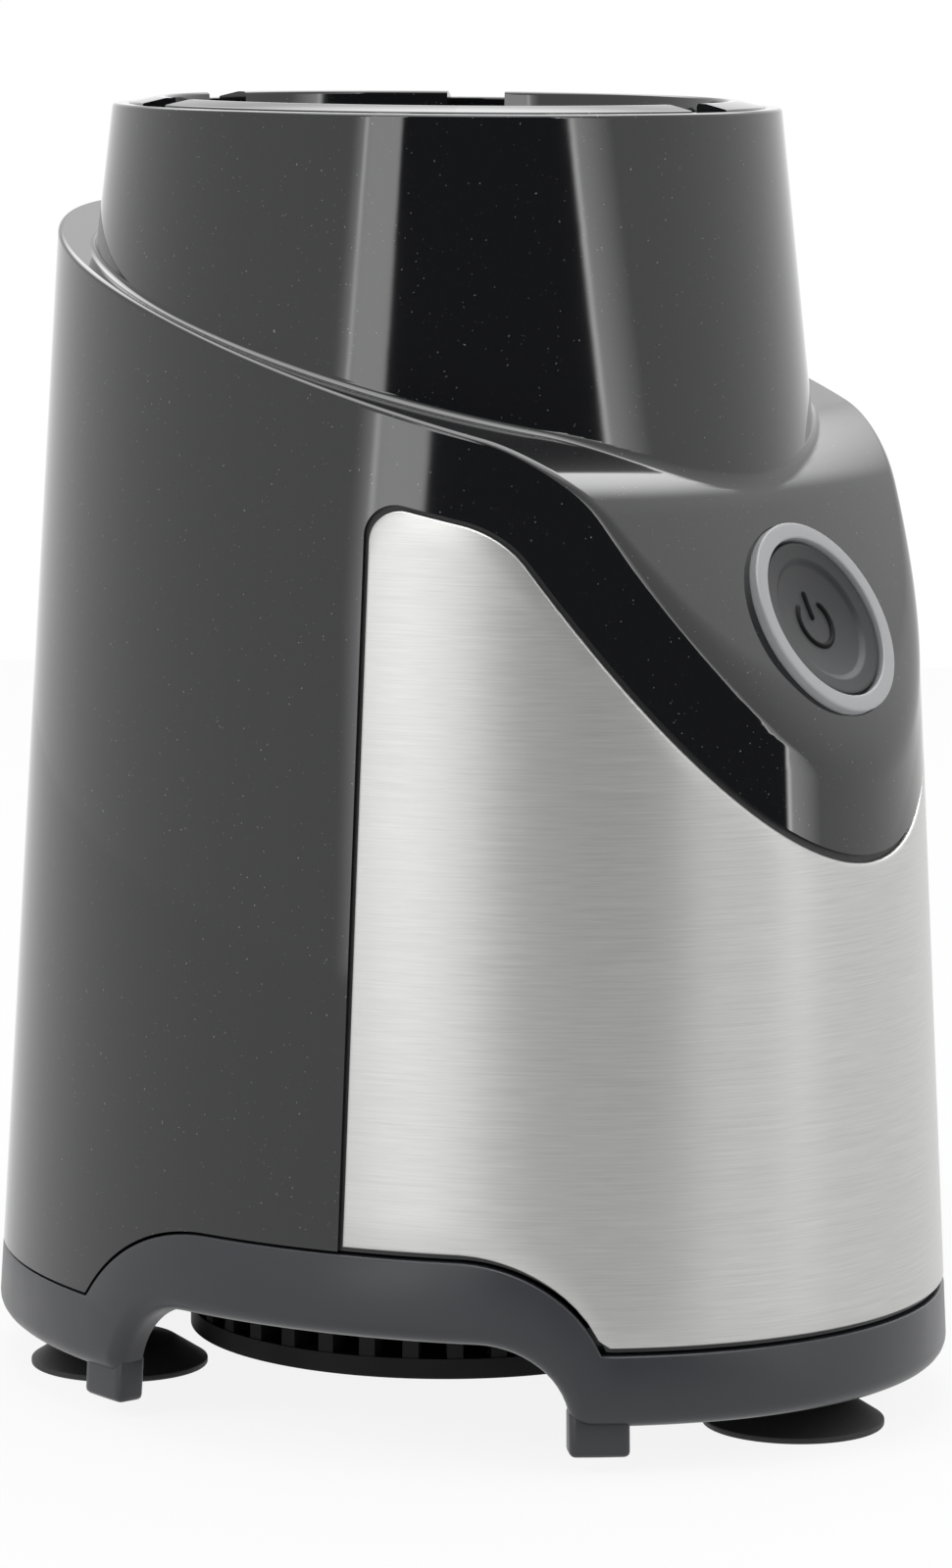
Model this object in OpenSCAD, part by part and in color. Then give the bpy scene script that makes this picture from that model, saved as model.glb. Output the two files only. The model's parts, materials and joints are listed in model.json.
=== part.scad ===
// Motor base of a cup blender, standing on three suction feet.
// Millimetres, +Z up, the front faces -Y, origin on the table under the middle of the body.

/* [Body] */
// Front-to-back length of the body at the skirt seam
body_l = 152; // [148:1:160]
// Side-to-side width of the body at the skirt seam
body_w = 126; // [124:1:136]
// Height from the table to the collar rim
body_h = 192; // [189:1:202]
// Lean of the front and back walls in degrees
body_draft = 3.4; // [2.6:0.1:3.8]
// Wall thickness of the mouldings
wall = 2.5; // [2.2:0.1:3]

/* [Collar and top form] */
// Outside diameter of the collar at its rim
collar_d = 100; // [97:1:101]
// Lean of the collar wall in degrees
collar_draft = 6.5; // [5.5:0.1:7]
// Distance of the cup axis behind the middle of the body
collar_y = 5.5; // [3.5:0.5:7]
// Height of the rim above the ledge, at the middle of the body
collar_h = 34.5; // [32:0.5:38]
// Slope of the ledge round the collar in degrees
ledge_slope = 16; // [14:0.5:18]
// Slope of the button facet in degrees
facet_slope = 61; // [59:0.5:63]
// Radius of the facet's crown from side to side
crown_r = 400; // [300:10:600]

/* [Steel panel] */
// Thickness of the steel
panel_t = 0.7; // [0.5:0.1:1]
// Gap round the steel
panel_gap = 0.6; // [0.4:0.1:1]
// Distance of the panel's upright edges in front of the middle of the body
panel_edge = 21; // [16:1:24]
// Height of the rim above the panel's top edge at the sides
panel_drop = 54; // [53:1:58]
// Height of the rim above the panel's top edge at the front
panel_front_drop = 107; // [104:0.5:112]
// Slope of the panel's falling top edge in degrees
panel_slope = 56; // [53:0.5:58]
// Slope of the panel's top edge at the sides in degrees
panel_tilt = 13; // [10:1:16]
// Radius where the top edge starts to fall
panel_bend = 14; // [10:1:18]
// Radius of the panel's top corners
panel_corner = 4.5; // [3:0.5:6]

/* [Skirt] */
// Height of the skirt's lower edge above the table
ground_gap = 7; // [6.5:0.5:8.5]
// Height of the skirt in the legs
skirt_h = 10.5; // [9:0.5:12]
// Rise of the seam over the side arches
arch_rise = 13; // [11:0.5:14]
// Height of the arch openings
arch_h = 11.5; // [9:0.5:12]
// Front end of the arch openings, in front of the middle
arch_front = 52; // [48:0.5:54]
// Back end of the arch openings, behind the middle
arch_back = 19.5; // [16:0.5:23]
// Corner radius of the arch openings
arch_r = 12; // [8:0.5:13]
// Width of the tabs beside the arches
tab_w = 9; // [6:0.5:10]
// Height of the tabs' ends above the table
tab_lift = 2.5; // [1.5:0.5:4]
// Thickness of the inner floor
floor_t = 2.5; // [2:0.1:3]

/* [Feet and vent] */
// Diameter of the suction cups
foot_d = 27; // [24:1:29]
// Diameter of the suction cups' plugs
foot_plug_d = 7; // [6:0.5:8]
// Diameter of the vent drum
drum_d = 76; // [74:1:80]
// Thickness of the vent drum's plate
drum_t = 3; // [2:0.5:4]
// Number of ribs round the vent drum
drum_ribs = 36; // [24:1:40]

/* [Cup well] */
// Collar's width less the cup's (mm)
cup_margin = 16; // [15:1:18]
// Depth of the cup seat down to its shoulder
seat_depth = 23; // [20:0.5:24]
// Width of the shoulder that the cup stands on
shoulder_w = 1; // [0.5:0.1:1.5]
// Depth of the cup well
well_depth = 41; // [36:0.5:42]
// Wall thickness of the cup well
well_wall = 2; // [1.5:0.1:2.2]
// Width of the lock slots
slot_w = 9; // [7:0.5:14]
// Depth of the lock slots below the well's lip
slot_depth = 22.5; // [19:0.5:23]

/* [Motor] */
// Diameter of the motor shaft
shaft_d = 6; // [5:0.5:7]
// Outside diameter of the bearings
bearing_d = 19; // [17:0.5:20]
// Height of the bearings
bearing_h = 6; // [5:0.5:7]
// Diameter of the armature
armature_d = 33; // [30:0.5:33]
// Height of the lamination stack
stack_h = 26; // [22:1:28]
// Width of the stator
stator_w = 66; // [64:1:70]
// Depth of the stator
stator_d = 54; // [53:1:58]
// Diameter of the commutator
commutator_d = 22; // [20:0.5:24]
// Diameter of the cooling fan
fan_d = 60; // [52:1:62]
// Height of the cooling fan
fan_h = 14; // [10:0.5:14]
// Number of fan blades
fan_blades = 11; // [7:1:13]
// Diameter of the drive coupling
coupling_d = 30; // [24:1:34]
// Height of the drive coupling
coupling_h = 14; // [12:0.5:16]
// Number of teeth on the drive coupling
coupling_teeth = 8; // [6:1:10]

/* [Power button] */
// Height of the rim above the button's centre
button_drop = 72.5; // [70:0.5:75]
// Distance of the button's centre behind the front of the body at the seam
button_setback = 14; // [13:0.5:15.5]
// Diameter of the button cap
button_d = 24.4; // [22:0.2:25]
// Width of the ring round the button
ring_w = 2.5; // [2:0.1:3.5]
// Height of the ring above the facet
ring_proud = 1.2; // [0.6:0.1:1.6]
// Travel of the button
button_travel = 2.5; // [2:0.1:3]

/* [Interlock] */
// Diameter of the interlock pin
pin_d = 3.2; // [2.6:0.1:3.4]
// Travel of the interlock pin
pin_travel = 3; // [2.5:0.1:3]
// Length of the lever from its pivot to the pin
lever_arm = 11; // [10:0.5:12]

/* [Cord inlet] */
// Diameter of the hole for the mains lead
cord_d = 7.2; // [6:0.2:8]
// Height of the cord inlet above the table
cord_z = 42; // [40:1:50]

/* [Clearances] */
// Gap between fixed pieces that slip into each other
fit = 0.3; // [0.2:0.05:0.4]
// Gap along the seam between housing and skirt
seam_gap = 0.4; // [0.3:0.05:0.6]
// Radial clearance of shafts and guides
run_gap = 0.05; // [0.03:0.01:0.08]

/* [Hidden] */
$fn = 96;
// A length larger than the whole object, for cutting blocks
big = 600;

// Heights of the skirt
seam_z = ground_gap + skirt_h;
arch_top = ground_gap + arch_h;
floor_z = seam_z + 1;
floor_top = floor_z + floor_t;
skirt_top = seam_z + arch_rise + 1;
seam_back_r = 31;
seam_front_r = 19;
seam_flat_back = arch_back - 17.5;
seam_flat_front = -arch_front + 15;
lip_t = 2.2;
lip_inset = wall + fit;
tab_inset = 1.2;
tab_t = 4.5;
tab_turn = 41;
tab_front_x = body_w / 2 * sqrt(1 - pow(arch_front / (body_l / 2), 2));

// Screws of the housing and the skirt
post_back = [body_w / 2 - 17, arch_back + 10.5];
post_inset = 8.5;
post_turn = 31;
post_front = [(body_w / 2 - post_inset) * sin(post_turn), -(body_l / 2 - post_inset) * cos(post_turn)];
post_screw_bite = 10;
post_rib_l = 14;
post_r = 4.5;
post_h = 30;
rib_t = 3;
screw_r = 1.6;
screw_head_r = 3.2;
screw_head_h = 2.4;
hole_gap = 0.3;

// Feet
foot_r = foot_d / 2;
foot_boss_r = foot_plug_d / 2 + 4.5;
foot_boss_z = ground_gap + 1;
foot_lip = 0.9;
foot_rim_w = 1.5;
foot_dome = [2.6, 3];
foot_neck = [4, 5];
foot_neck_w = 1.6;
foot_front_y = -(body_l / 2 - 16.5);
foot_back_y = body_l / 2 - 33.5;
foot_back_x = body_w / 2 - 31;
feet = [[0, foot_front_y], [foot_back_x, foot_back_y], [-foot_back_x, foot_back_y]];

// Vent drum under the floor
drum_r = drum_d / 2;
drum_z = ground_gap - 1;
drum_rib_t = 2.4;
drum_rib_l = 4;
drum_post_r = 3.2;
drum_post_gap = 0.6;
drum_post_ring = drum_r - drum_rib_l - drum_post_r - drum_post_gap;
floor_hole_r = drum_post_ring - drum_post_r - 0.4;

// Collar, cup well and bulkhead
collar_root = 58;
collar_low = body_h - collar_root;
ledge_z = body_h - collar_h;
well_lip = 1;
well_lip_slope = 0.8;
well_lip_w = 1.5;
well_top = body_h + well_lip;
well_floor = well_top - well_depth;
well_floor_t = 2.5;
well_r = (collar_d - cup_margin) / 2;
well_out_r = well_r + well_wall;
well_flange_t = 2.5;
well_flange_r = collar_r(body_h) - wall - fit;
bulkhead_top = well_floor - well_floor_t;
bulkhead_t = 2.5;
bulkhead_z = bulkhead_top - bulkhead_t;
deck_lap = 2;
deck_flange_t = 2;
deck_draft = 0.2;
deck_r = collar_r(bulkhead_z) - wall - deck_lap - fit;
slot_floor = well_top - slot_depth;
slot_turn = 11;
slot_turn_h = 6;
slot_angles = [30, 90, 150, 270];
well_ear_r = 2.8;
well_ear_h = 9.5;
well_screw_short = 3;
small_head_r = 2.6;
small_head_h = 2;
carrier_screw_bite = 6;
well_ear_ring = well_out_r + well_ear_r + 0.8;
well_ear_angles = [30, 150, 270];
well_screw_r = 1.3;

// Motor heights, from the bulkhead downwards
boss_r = 4.2;
boss_len = 12;
grommet_h = 4;
grommet_r = 5;
bracket_t = 4;
leg_w = 8;
leg_d = 14;
leg_up = 22;
leg_down = 20;
bracket_top = bulkhead_z - boss_len - grommet_h;
bracket_low = bracket_top - bracket_t;
stack_top = bracket_low - leg_up;
stack_low = stack_top - stack_h;
base_top = stack_low - leg_down;
base_low = base_top - bracket_t;
bearing_cap = 2;
upper_bearing_z = bracket_top - bearing_cap - bearing_h;
lower_bearing_z = base_top - bearing_cap - bearing_h;
bearing_fit = 0.02;
bearing_boss_r = bearing_d / 2 + 3.5;
shaft_hole_r = shaft_d / 2 + 1;
boss_x = stator_w / 2 - 11;
boss_y = stator_d / 2 - 7;
bolt_x = stator_w / 2 - 6;
bolt_r = 2;
bolt_head_r = 3.5;
bolt_head_h = 3;
bolt_hole_gap = 0.1;
motor_screw_r = 1.9;
motor_screw_len = 13;
base_r = bolt_x + 6;
air_gap = 0.5;
bore_r = armature_d / 2 + air_gap;
coil_t = 5.5;
coil_gap = 0.2;
coil_y = bore_r + 1.2;
coil_depth = 5.6;
pole_w = 28;
coil_over = 3.4;
winding_r = armature_d / 2 - 1.5;
winding_up = 8;
winding_down = 2.6;
commutator_gap = 4;
commutator_z = base_top + commutator_gap;
commutator_h = stack_low - winding_down - 0.4 - commutator_z;
brush_z = commutator_z + commutator_h / 2;
brush_s = 6;
brush_len = 14;
brush_gap = 0.3;
brush_y = commutator_d / 2 + brush_gap;
brush_side_gap = 0.2;
holder_t = 1.8;
holder_gap = 1.5;
holder_y = commutator_d / 2 + holder_gap;
brush_spring_l = 3.4;
holder_end = 1.5;
holder_l = brush_y + brush_len + brush_spring_l + 0.2 + holder_end - holder_y;
fan_gap = 4;
fan_top = lower_bearing_z - fan_gap;
fan_low = fan_top - fan_h;
fan_hub_r = shaft_d / 2 + 4;
fan_plate_t = 2;
blade_t = 1.6;
shaft_low = fan_low - 4;
duct_t = 2;
duct_in_r = fan_d / 2 + 3;
duct_top = base_low - bearing_h - 1;
seal_r = shaft_d / 2 + 5.9;
seal_flange_r = seal_r + 2.5;
seal_flange_t = 2;
coupling_gap = 1;
coupling_z = well_floor + seal_flange_t + coupling_gap;
coupling_plate_t = 3;
coupling_core_r = shaft_d / 2 + 5;
tooth_w = 3.5;
tooth_drop = 2;
coupling_cap = 4;
shaft_top = coupling_z + coupling_h - coupling_cap;

// Button, measured along its own axis from the facet outwards
button_y = -(body_l / 2 - button_setback);
button_z = body_h - button_drop;
button_r = button_d / 2;
ring_in_r = button_r + fit;
ring_r = ring_in_r + ring_w;
ring_tail_r = ring_r - 0.7;
ring_collar = 2;
carrier_top = -10;
carrier_t = 2.5;
carrier_low = carrier_top - carrier_t;
carrier_w = 2 * ring_r + 16;
carrier_h = 2 * ring_r + 2;
carrier_screw_x = ring_r + 5;
carrier_post_r = 3.6;
carrier_screw_r = 1.3;
cap_top = 0.6;
cap_t = 4.6;
dish_r = 26;
dish_depth = 1.1;
stem_r = 3.5;
stem_end = carrier_low - 5;
guide_t = 2;
guide_end = carrier_low - 2;
spring_gap = 0.1;
button_spring_r = stem_r + 0.7;
button_spring_t = 1.8;
plunger_r = 2;
plunger_top = stem_end - fit;
plunger_out = 5;
switch_top = plunger_top - plunger_out;
switch_s = 12;
switch_h = 9;
switch_low = switch_top - switch_h;
arm_t = 2.5;
arm_x = switch_s / 2 + 0.1;

// Interlock behind the cup well
pin_r = pin_d / 2;
pin_top = slot_floor + pin_travel;
pin_ring = (well_out_r + collar_r(pin_top) - wall) / 2;
pin_y = collar_y + pin_ring;
pin_flange_r = pin_r + 0.8;
pin_flange_t = 1.5;
pin_guide_t = 4;
pin_guide_r = pin_r + 1.4;
pin_guide_z = slot_floor - 8;
pin_flange_z = pin_guide_z - 1.5 - pin_flange_t;
pin_spring_r = pin_r + 0.15;
pin_spring_t = 0.5;
lever_tilt = 10;
lever_t = 0.8;
lever_w = 3.4;
lever_over = 3;
lever_pivot_r = 0.8;
lever_pivot_l = 5.4;
pivot_z = bulkhead_z - 13.5;
pin_low = pivot_z + lever_arm * tan(lever_tilt) + lever_t / 2 / cos(lever_tilt) + fit;
micro_t = 6.4;
micro_l = 20;
micro_h = 10;
micro_top = pivot_z - 3;
micro_x = -lever_arm - 3;
micro_ear_t = 1;
micro_nub_h = 1.5;
micro_screw_r = 1.2;
micro_screw_x = [micro_x + 3, micro_x + micro_l - 3];
tab_plate_t = 2;
tab_plate_y = pin_y - micro_t / 2 - tab_plate_t;

// Board at the back of the floor
board_l = 44;
board_t = 1.6;
board_front_gap = 4.5;
board_back_gap = 9;
board_front = collar_y + duct_in_r + duct_t + board_front_gap;
board_back = body_l / 2 - board_back_gap;
board_d = board_back - board_front;
board_y = (board_front + board_back) / 2;
board_post_h = 3.5;
board_post_r = 3;
board_z = floor_top + board_post_h;
board_screw_x = board_l / 2 - 4;
board_screw_r = 1.4;
board_screw_head_r = 2.8;
board_screw_head_h = 2;
cap_box = [18, 10, 14];

// Cord inlet in the back wall
gland_r = cord_d / 2 + 2;
gland_flange = 2;
gland_flange_t = 1.5;
gland_cut = 40;
gland_face = half_l(cord_z - gland_r - gland_flange) + 0.1;
gland_grip = 4;
gland_in = half_l(cord_z) - wall - gland_grip;

// Steel panel outline in the side view
panel_top = body_h - panel_drop;
panel_front = body_h - panel_front_drop;
panel_n = [-sin(panel_slope), cos(panel_slope)];
panel_up = [-sin(panel_tilt), cos(panel_tilt)];
panel_front_y = -half_l(panel_front);

// Half length of the body and radius of the collar at a height
function half_l(z) = body_l / 2 - (z - seam_z) * tan(body_draft);
function collar_r(z) = collar_d / 2 + (body_h - z) * tan(collar_draft);

// Basic forms

// Oval leaning body between two heights, drawn in by an inset and made from four quarters
module body_cone(z0, z1, inset = 0) {
    ratio = (body_w / 2 - inset) / (body_l / 2 - inset);
    for (a = [0:90:270])
        translate([0, 0, z0]) intersection() {
            scale([ratio, 1, 1]) rotate([0, 0, a])
                cylinder(h = z1 - z0, r1 = half_l(z0) - inset, r2 = half_l(z1) - inset);
            rotate([0, 0, a]) cube([big, big, z1 - z0]);
        }
}

// Oval wall between two insets
module body_ring(z0, z1, inset, thickness) {
    difference() {
        body_cone(z0, z1, inset);
        body_cone(z0 - 1, z1 + 1, inset + thickness);
    }
}

// A side-view outline (Y to the right, Z up) drawn out from side to side
module along_x() {
    rotate([90, 0, 90]) linear_extrude(big, center = true) children();
}

module ring(r_out, r_in, h) {
    difference() {
        cylinder(h = h, r = r_out);
        translate([0, 0, -1]) cylinder(h = h + 2, r = r_in);
    }
}

// A screw with its head below z = 0 and its shank above
module screw(r, len, head_r, head_h) {
    translate([0, 0, -head_h]) cylinder(h = head_h, r = head_r);
    translate([0, 0, -head_h / 2]) cylinder(h = len + head_h / 2, r = r);
}

module on_axis(z = 0) {
    translate([0, collar_y, z]) children();
}

// Local Z points out of the facet at the button's centre
module at_button() {
    translate([0, button_y, button_z]) rotate([facet_slope, 0, 0]) children();
}

module mirrored(axis) {
    children();
    mirror(axis) children();
}

// Everything under the seam in the side view, with the humps over the arches
module seam_outline(raise = 0) {
    hump_z = seam_z + arch_rise + raise;
    translate([-big / 2, -big]) square([big, big + seam_z + raise]);
    translate([seam_flat_front, 0]) square([seam_flat_back - seam_flat_front, hump_z]);
    intersection() {
        translate([seam_flat_back, hump_z - seam_back_r]) circle(seam_back_r);
        translate([seam_flat_back - 1, 0]) square([big, big]);
    }
    intersection() {
        translate([seam_flat_front, hump_z - seam_front_r]) circle(seam_front_r);
        translate([seam_flat_front - big + 1, 0]) square([big, big]);
    }
}

// Arch opening in the side view
module arch_outline() {
    length = arch_front + arch_back;
    translate([-arch_front, -1]) square([length, arch_top - arch_r + 1]);
    translate([-arch_front + arch_r, -1]) square([length - 2 * arch_r, arch_top + 1]);
    for (y = [-arch_front + arch_r, arch_back - arch_r])
        translate([y, arch_top - arch_r]) circle(arch_r);
}

// Steel panel in the side view, grown outwards for its recess
module panel_outline(grow, bottom) {
    rise = tan(panel_tilt);
    fall = tan(panel_slope);
    edge = -panel_edge + grow;
    top = panel_top + grow * rise + grow / cos(panel_tilt);
    base = [panel_front_y, panel_front] + grow * panel_n;
    knee_y = (top - rise * edge - base[1] + fall * base[0]) / (fall - rise);
    knee = [knee_y, top + rise * (knee_y - edge)];
    bend_l = panel_bend * tan((panel_slope - panel_tilt) / 2);
    bend = knee + bend_l * [cos(panel_tilt), sin(panel_tilt)] - panel_bend * panel_up;
    corner = [edge - panel_corner, top - panel_corner * rise - panel_corner / cos(panel_tilt)];
    far = [base[0] - 40, base[1] - 40 * fall];
    difference() {
        polygon([knee, [edge, top], [edge, bottom], [far[0], bottom], [far[0], max(far[1], bottom + 1)]]);
        difference() {
            polygon([bend, bend + (panel_bend + 9) * panel_up, knee + 9 * (panel_up + panel_n),
                bend + (panel_bend + 9) * panel_n]);
            translate(bend) circle(panel_bend);
        }
        difference() {
            polygon([
                corner, corner + (panel_corner + 3) * panel_up, [edge + 2, top + 5], [edge + 2, corner[1]]
            ]);
            translate(corner) circle(panel_corner);
        }
    }
}

// Body under the ledge and behind the facet
module body_form(inset) {
    intersection() {
        body_cone(0, body_h, inset);
        translate([0, 0, ledge_z]) rotate([ledge_slope, 0, 0])
            translate([-big / 2, -big / 2, -big - inset]) cube(big);
        at_button() translate([0, 0, -crown_r]) rotate([90, 0, 0])
            cylinder(h = big, r = crown_r - inset, center = true, $fn = 240);
    }
}

module collar_form(inset, over = 0) {
    on_axis(collar_low)
        cylinder(h = body_h - collar_low + over, r1 = collar_r(collar_low) - inset,
            r2 = collar_r(body_h + over) - inset);
}

module slab(z0, z1) {
    translate([-big / 2, -big / 2, z0]) cube([big, big, z1 - z0]);
}

module at_posts() {
    mirrored([1, 0, 0]) {
        translate([post_back[0], post_back[1], 0]) children();
        translate([post_front[0], post_front[1], 0]) rotate([0, 0, -45]) children();
    }
}

module at_motor_bosses() {
    for (sx = [-1, 1], sy = [-1, 1])
        on_axis() translate([sx * boss_x, sy * boss_y, 0]) children();
}

module at_drum_posts() {
    for (a = [30, 150, 270])
        on_axis() rotate([0, 0, a]) translate([drum_post_ring, 0, 0]) children();
}

module at_well_ears() {
    for (a = well_ear_angles)
        on_axis() rotate([0, 0, a]) translate([well_ear_ring, 0, 0]) children();
}

// Casing

module housing_cavity() {
    intersection() {
        union() {
            body_form(wall);
            collar_form(wall);
        }
        slab(-1, bulkhead_z);
    }
    intersection() {
        collar_form(wall, 1);
        slab(bulkhead_top, body_h + 2);
    }
}

module housing_inside() {
    intersection() {
        body_form(wall / 2);
        at_posts() translate([0, 0, floor_top]) {
            cylinder(h = post_h, r = post_r);
            translate([0, -rib_t / 2, 0]) cube([post_rib_l, rib_t, post_h]);
        }
    }
    intersection() {
        body_form(wall / 2);
        at_button() mirrored([1, 0, 0])
            translate([carrier_screw_x, 0, carrier_top]) cylinder(h = -carrier_top, r = carrier_post_r);
    }
}

module main_housing() color([0.06, 0.06, 0.065]) {
    difference() {
        union() {
            difference() {
                union() {
                    body_form(0);
                    collar_form(0);
                }
                housing_cavity();
            }
            housing_inside();
        }
        on_axis(bulkhead_z - 1)
            cylinder(h = bulkhead_t + 2, r1 = deck_r + fit, r2 = deck_r + fit + deck_draft);
        along_x() seam_outline(seam_gap);
        intersection() {
            body_ring(0, body_h, -2, 2 + panel_t + 0.1);
            along_x() panel_outline(panel_gap, 0);
        }
        at_button() translate([0, 0, carrier_top + 1]) cylinder(h = 20, r = ring_r + fit / 2);
        at_button() mirrored([1, 0, 0])
            translate([carrier_screw_x, 0, carrier_top - 1]) cylinder(h = 8, r = carrier_screw_r);
        at_posts() translate([0, 0, floor_top - 1]) cylinder(h = 14, r = screw_r);
        translate([0, gland_in - 10, cord_z]) rotate([-90, 0, 0])
            cylinder(h = gland_cut, r = gland_r + fit / 2);
    }
}

// The deck's flange laps under the housing's bulkhead and is welded to it
module motor_deck() color([0.08, 0.08, 0.085]) {
    difference() {
        union() {
            on_axis(bulkhead_z) cylinder(h = bulkhead_t, r = deck_r);
            on_axis(bulkhead_z - deck_flange_t) {
                ring(deck_r, deck_r - deck_lap, deck_flange_t + bulkhead_t / 2);
                ring(deck_r + deck_lap, deck_r - deck_lap / 2, deck_flange_t);
            }
            at_motor_bosses() translate([0, 0, bulkhead_z - boss_len]) cylinder(h = boss_len + 1, r = boss_r);
            translate([micro_x, tab_plate_y, micro_top - micro_h])
                cube([micro_l, tab_plate_t, bulkhead_z - micro_top + micro_h + 1]);
        }
        at_motor_bosses() translate([0, 0, bulkhead_z - boss_len - 1])
            cylinder(h = boss_len, r = motor_screw_r + run_gap);
        on_axis(bulkhead_z - 1) cylinder(h = bulkhead_t + 2, r = seal_r + run_gap);
        at_well_ears() {
            translate([0, 0, bulkhead_z - 1]) cylinder(h = bulkhead_t + 2, r = well_screw_r + hole_gap);
            translate([0, 0, bulkhead_z - boss_len]) cylinder(h = boss_len, r = small_head_r + hole_gap);
        }
        translate([0, pin_y, bulkhead_z - boss_len])
            cylinder(h = boss_len + bulkhead_t + 1, r = pin_r + run_gap);
        for (x = micro_screw_x)
            translate([x, tab_plate_y - 1, micro_top - micro_h / 2]) rotate([-90, 0, 0])
                cylinder(h = tab_plate_t + 2, r = micro_screw_r);
    }
}

module steel_panel() color([0.74, 0.74, 0.73]) {
    intersection() {
        body_ring(0, body_h, 0, panel_t);
        along_x() difference() {
            panel_outline(0, 0);
            seam_outline(seam_gap + panel_gap);
        }
    }
}

module base_skirt() color([0.29, 0.29, 0.3]) {
    difference() {
        union() {
            difference() {
                union() {
                    intersection() {
                        body_cone(ground_gap, skirt_top);
                        along_x() seam_outline();
                    }
                    body_cone(ground_gap + 1, floor_top, lip_inset);
                }
                body_cone(0, floor_z, lip_inset + lip_t);
                body_cone(floor_top, skirt_top + 1, wall);
            }
            intersection() {
                body_ring(tab_lift, ground_gap + 3, tab_inset, tab_t);
                mirrored([1, 0, 0]) {
                    translate([0, arch_back, 0]) cube([big, tab_w, big]);
                    translate([tab_front_x, -arch_front, 0]) rotate([0, 0, -tab_turn])
                        translate([-2 * tab_t, -tab_w, 0]) cube([4 * tab_t, tab_w, big]);
                }
            }
            for (p = feet)
                translate([p[0], p[1], foot_boss_z]) cylinder(h = floor_z - foot_boss_z + 1, r = foot_boss_r);
            mirrored([1, 0, 0]) translate([board_screw_x, board_y, floor_top - 1])
                cylinder(h = board_post_h + 1, r = board_post_r);
        }
        along_x() arch_outline();
        on_axis(floor_z - 1) cylinder(h = floor_t + 2, r = floor_hole_r);
        at_posts() translate([0, 0, floor_z - 1]) cylinder(h = floor_t + 2, r = screw_r + hole_gap);
        at_drum_posts() translate([0, 0, floor_z - 1]) cylinder(h = floor_t + 2, r = screw_r);
        for (p = feet)
            translate([p[0], p[1], 0]) cylinder(h = floor_top + 1, r = foot_plug_d / 2 + run_gap);
        mirrored([1, 0, 0]) translate([board_screw_x, board_y, floor_z - 1])
            cylinder(h = board_post_h + floor_t + 2, r = board_screw_r);
    }
}

module vent_drum() color([0.05, 0.05, 0.05]) {
    difference() {
        union() {
            on_axis(drum_z) cylinder(h = drum_t, r = drum_r);
            for (i = [0:drum_ribs - 1])
                on_axis(drum_z + drum_t - 0.5) rotate([0, 0, i * 360 / drum_ribs])
                    translate([drum_r - drum_rib_l, -drum_rib_t / 2, 0])
                        cube([drum_rib_l - 0.2, drum_rib_t, floor_z - drum_z - drum_t + 0.5]);
            at_drum_posts() translate([0, 0, drum_z]) cylinder(h = floor_z - drum_z, r = drum_post_r);
        }
        at_drum_posts() {
            translate([0, 0, drum_z - 1]) cylinder(h = floor_z, r = screw_r + hole_gap);
            translate([0, 0, drum_z - 1]) cylinder(h = 1 + screw_head_h + 0.2, r = drum_post_r - 0.4);
        }
    }
}

module suction_feet() color([0.04, 0.04, 0.04]) {
    for (p = feet)
        translate([p[0], p[1], 0]) rotate_extrude() polygon([
            [0, foot_dome[1]], [foot_r * 0.45, foot_dome[0]], [foot_r - foot_rim_w, 0], [foot_r, 0],
            [foot_r, foot_lip], [foot_r * 0.62, foot_neck[0]], [foot_plug_d / 2 + foot_neck_w, foot_neck[1]],
            [foot_plug_d / 2 + foot_neck_w, foot_boss_z],
            [foot_plug_d / 2, foot_boss_z], [foot_plug_d / 2, floor_top], [0, floor_top]
        ]);
}

module skirt_screws() color([0.55, 0.55, 0.57]) {
    at_posts() translate([0, 0, floor_z]) screw(screw_r, floor_t + post_screw_bite, screw_head_r, screw_head_h);
}

module vent_screws() color([0.55, 0.55, 0.57]) {
    at_drum_posts() translate([0, 0, drum_z + screw_head_h + 0.2])
        screw(screw_r, floor_top - drum_z - screw_head_h - 0.5, drum_post_r - 0.6, screw_head_h);
}

// Cup well

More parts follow.
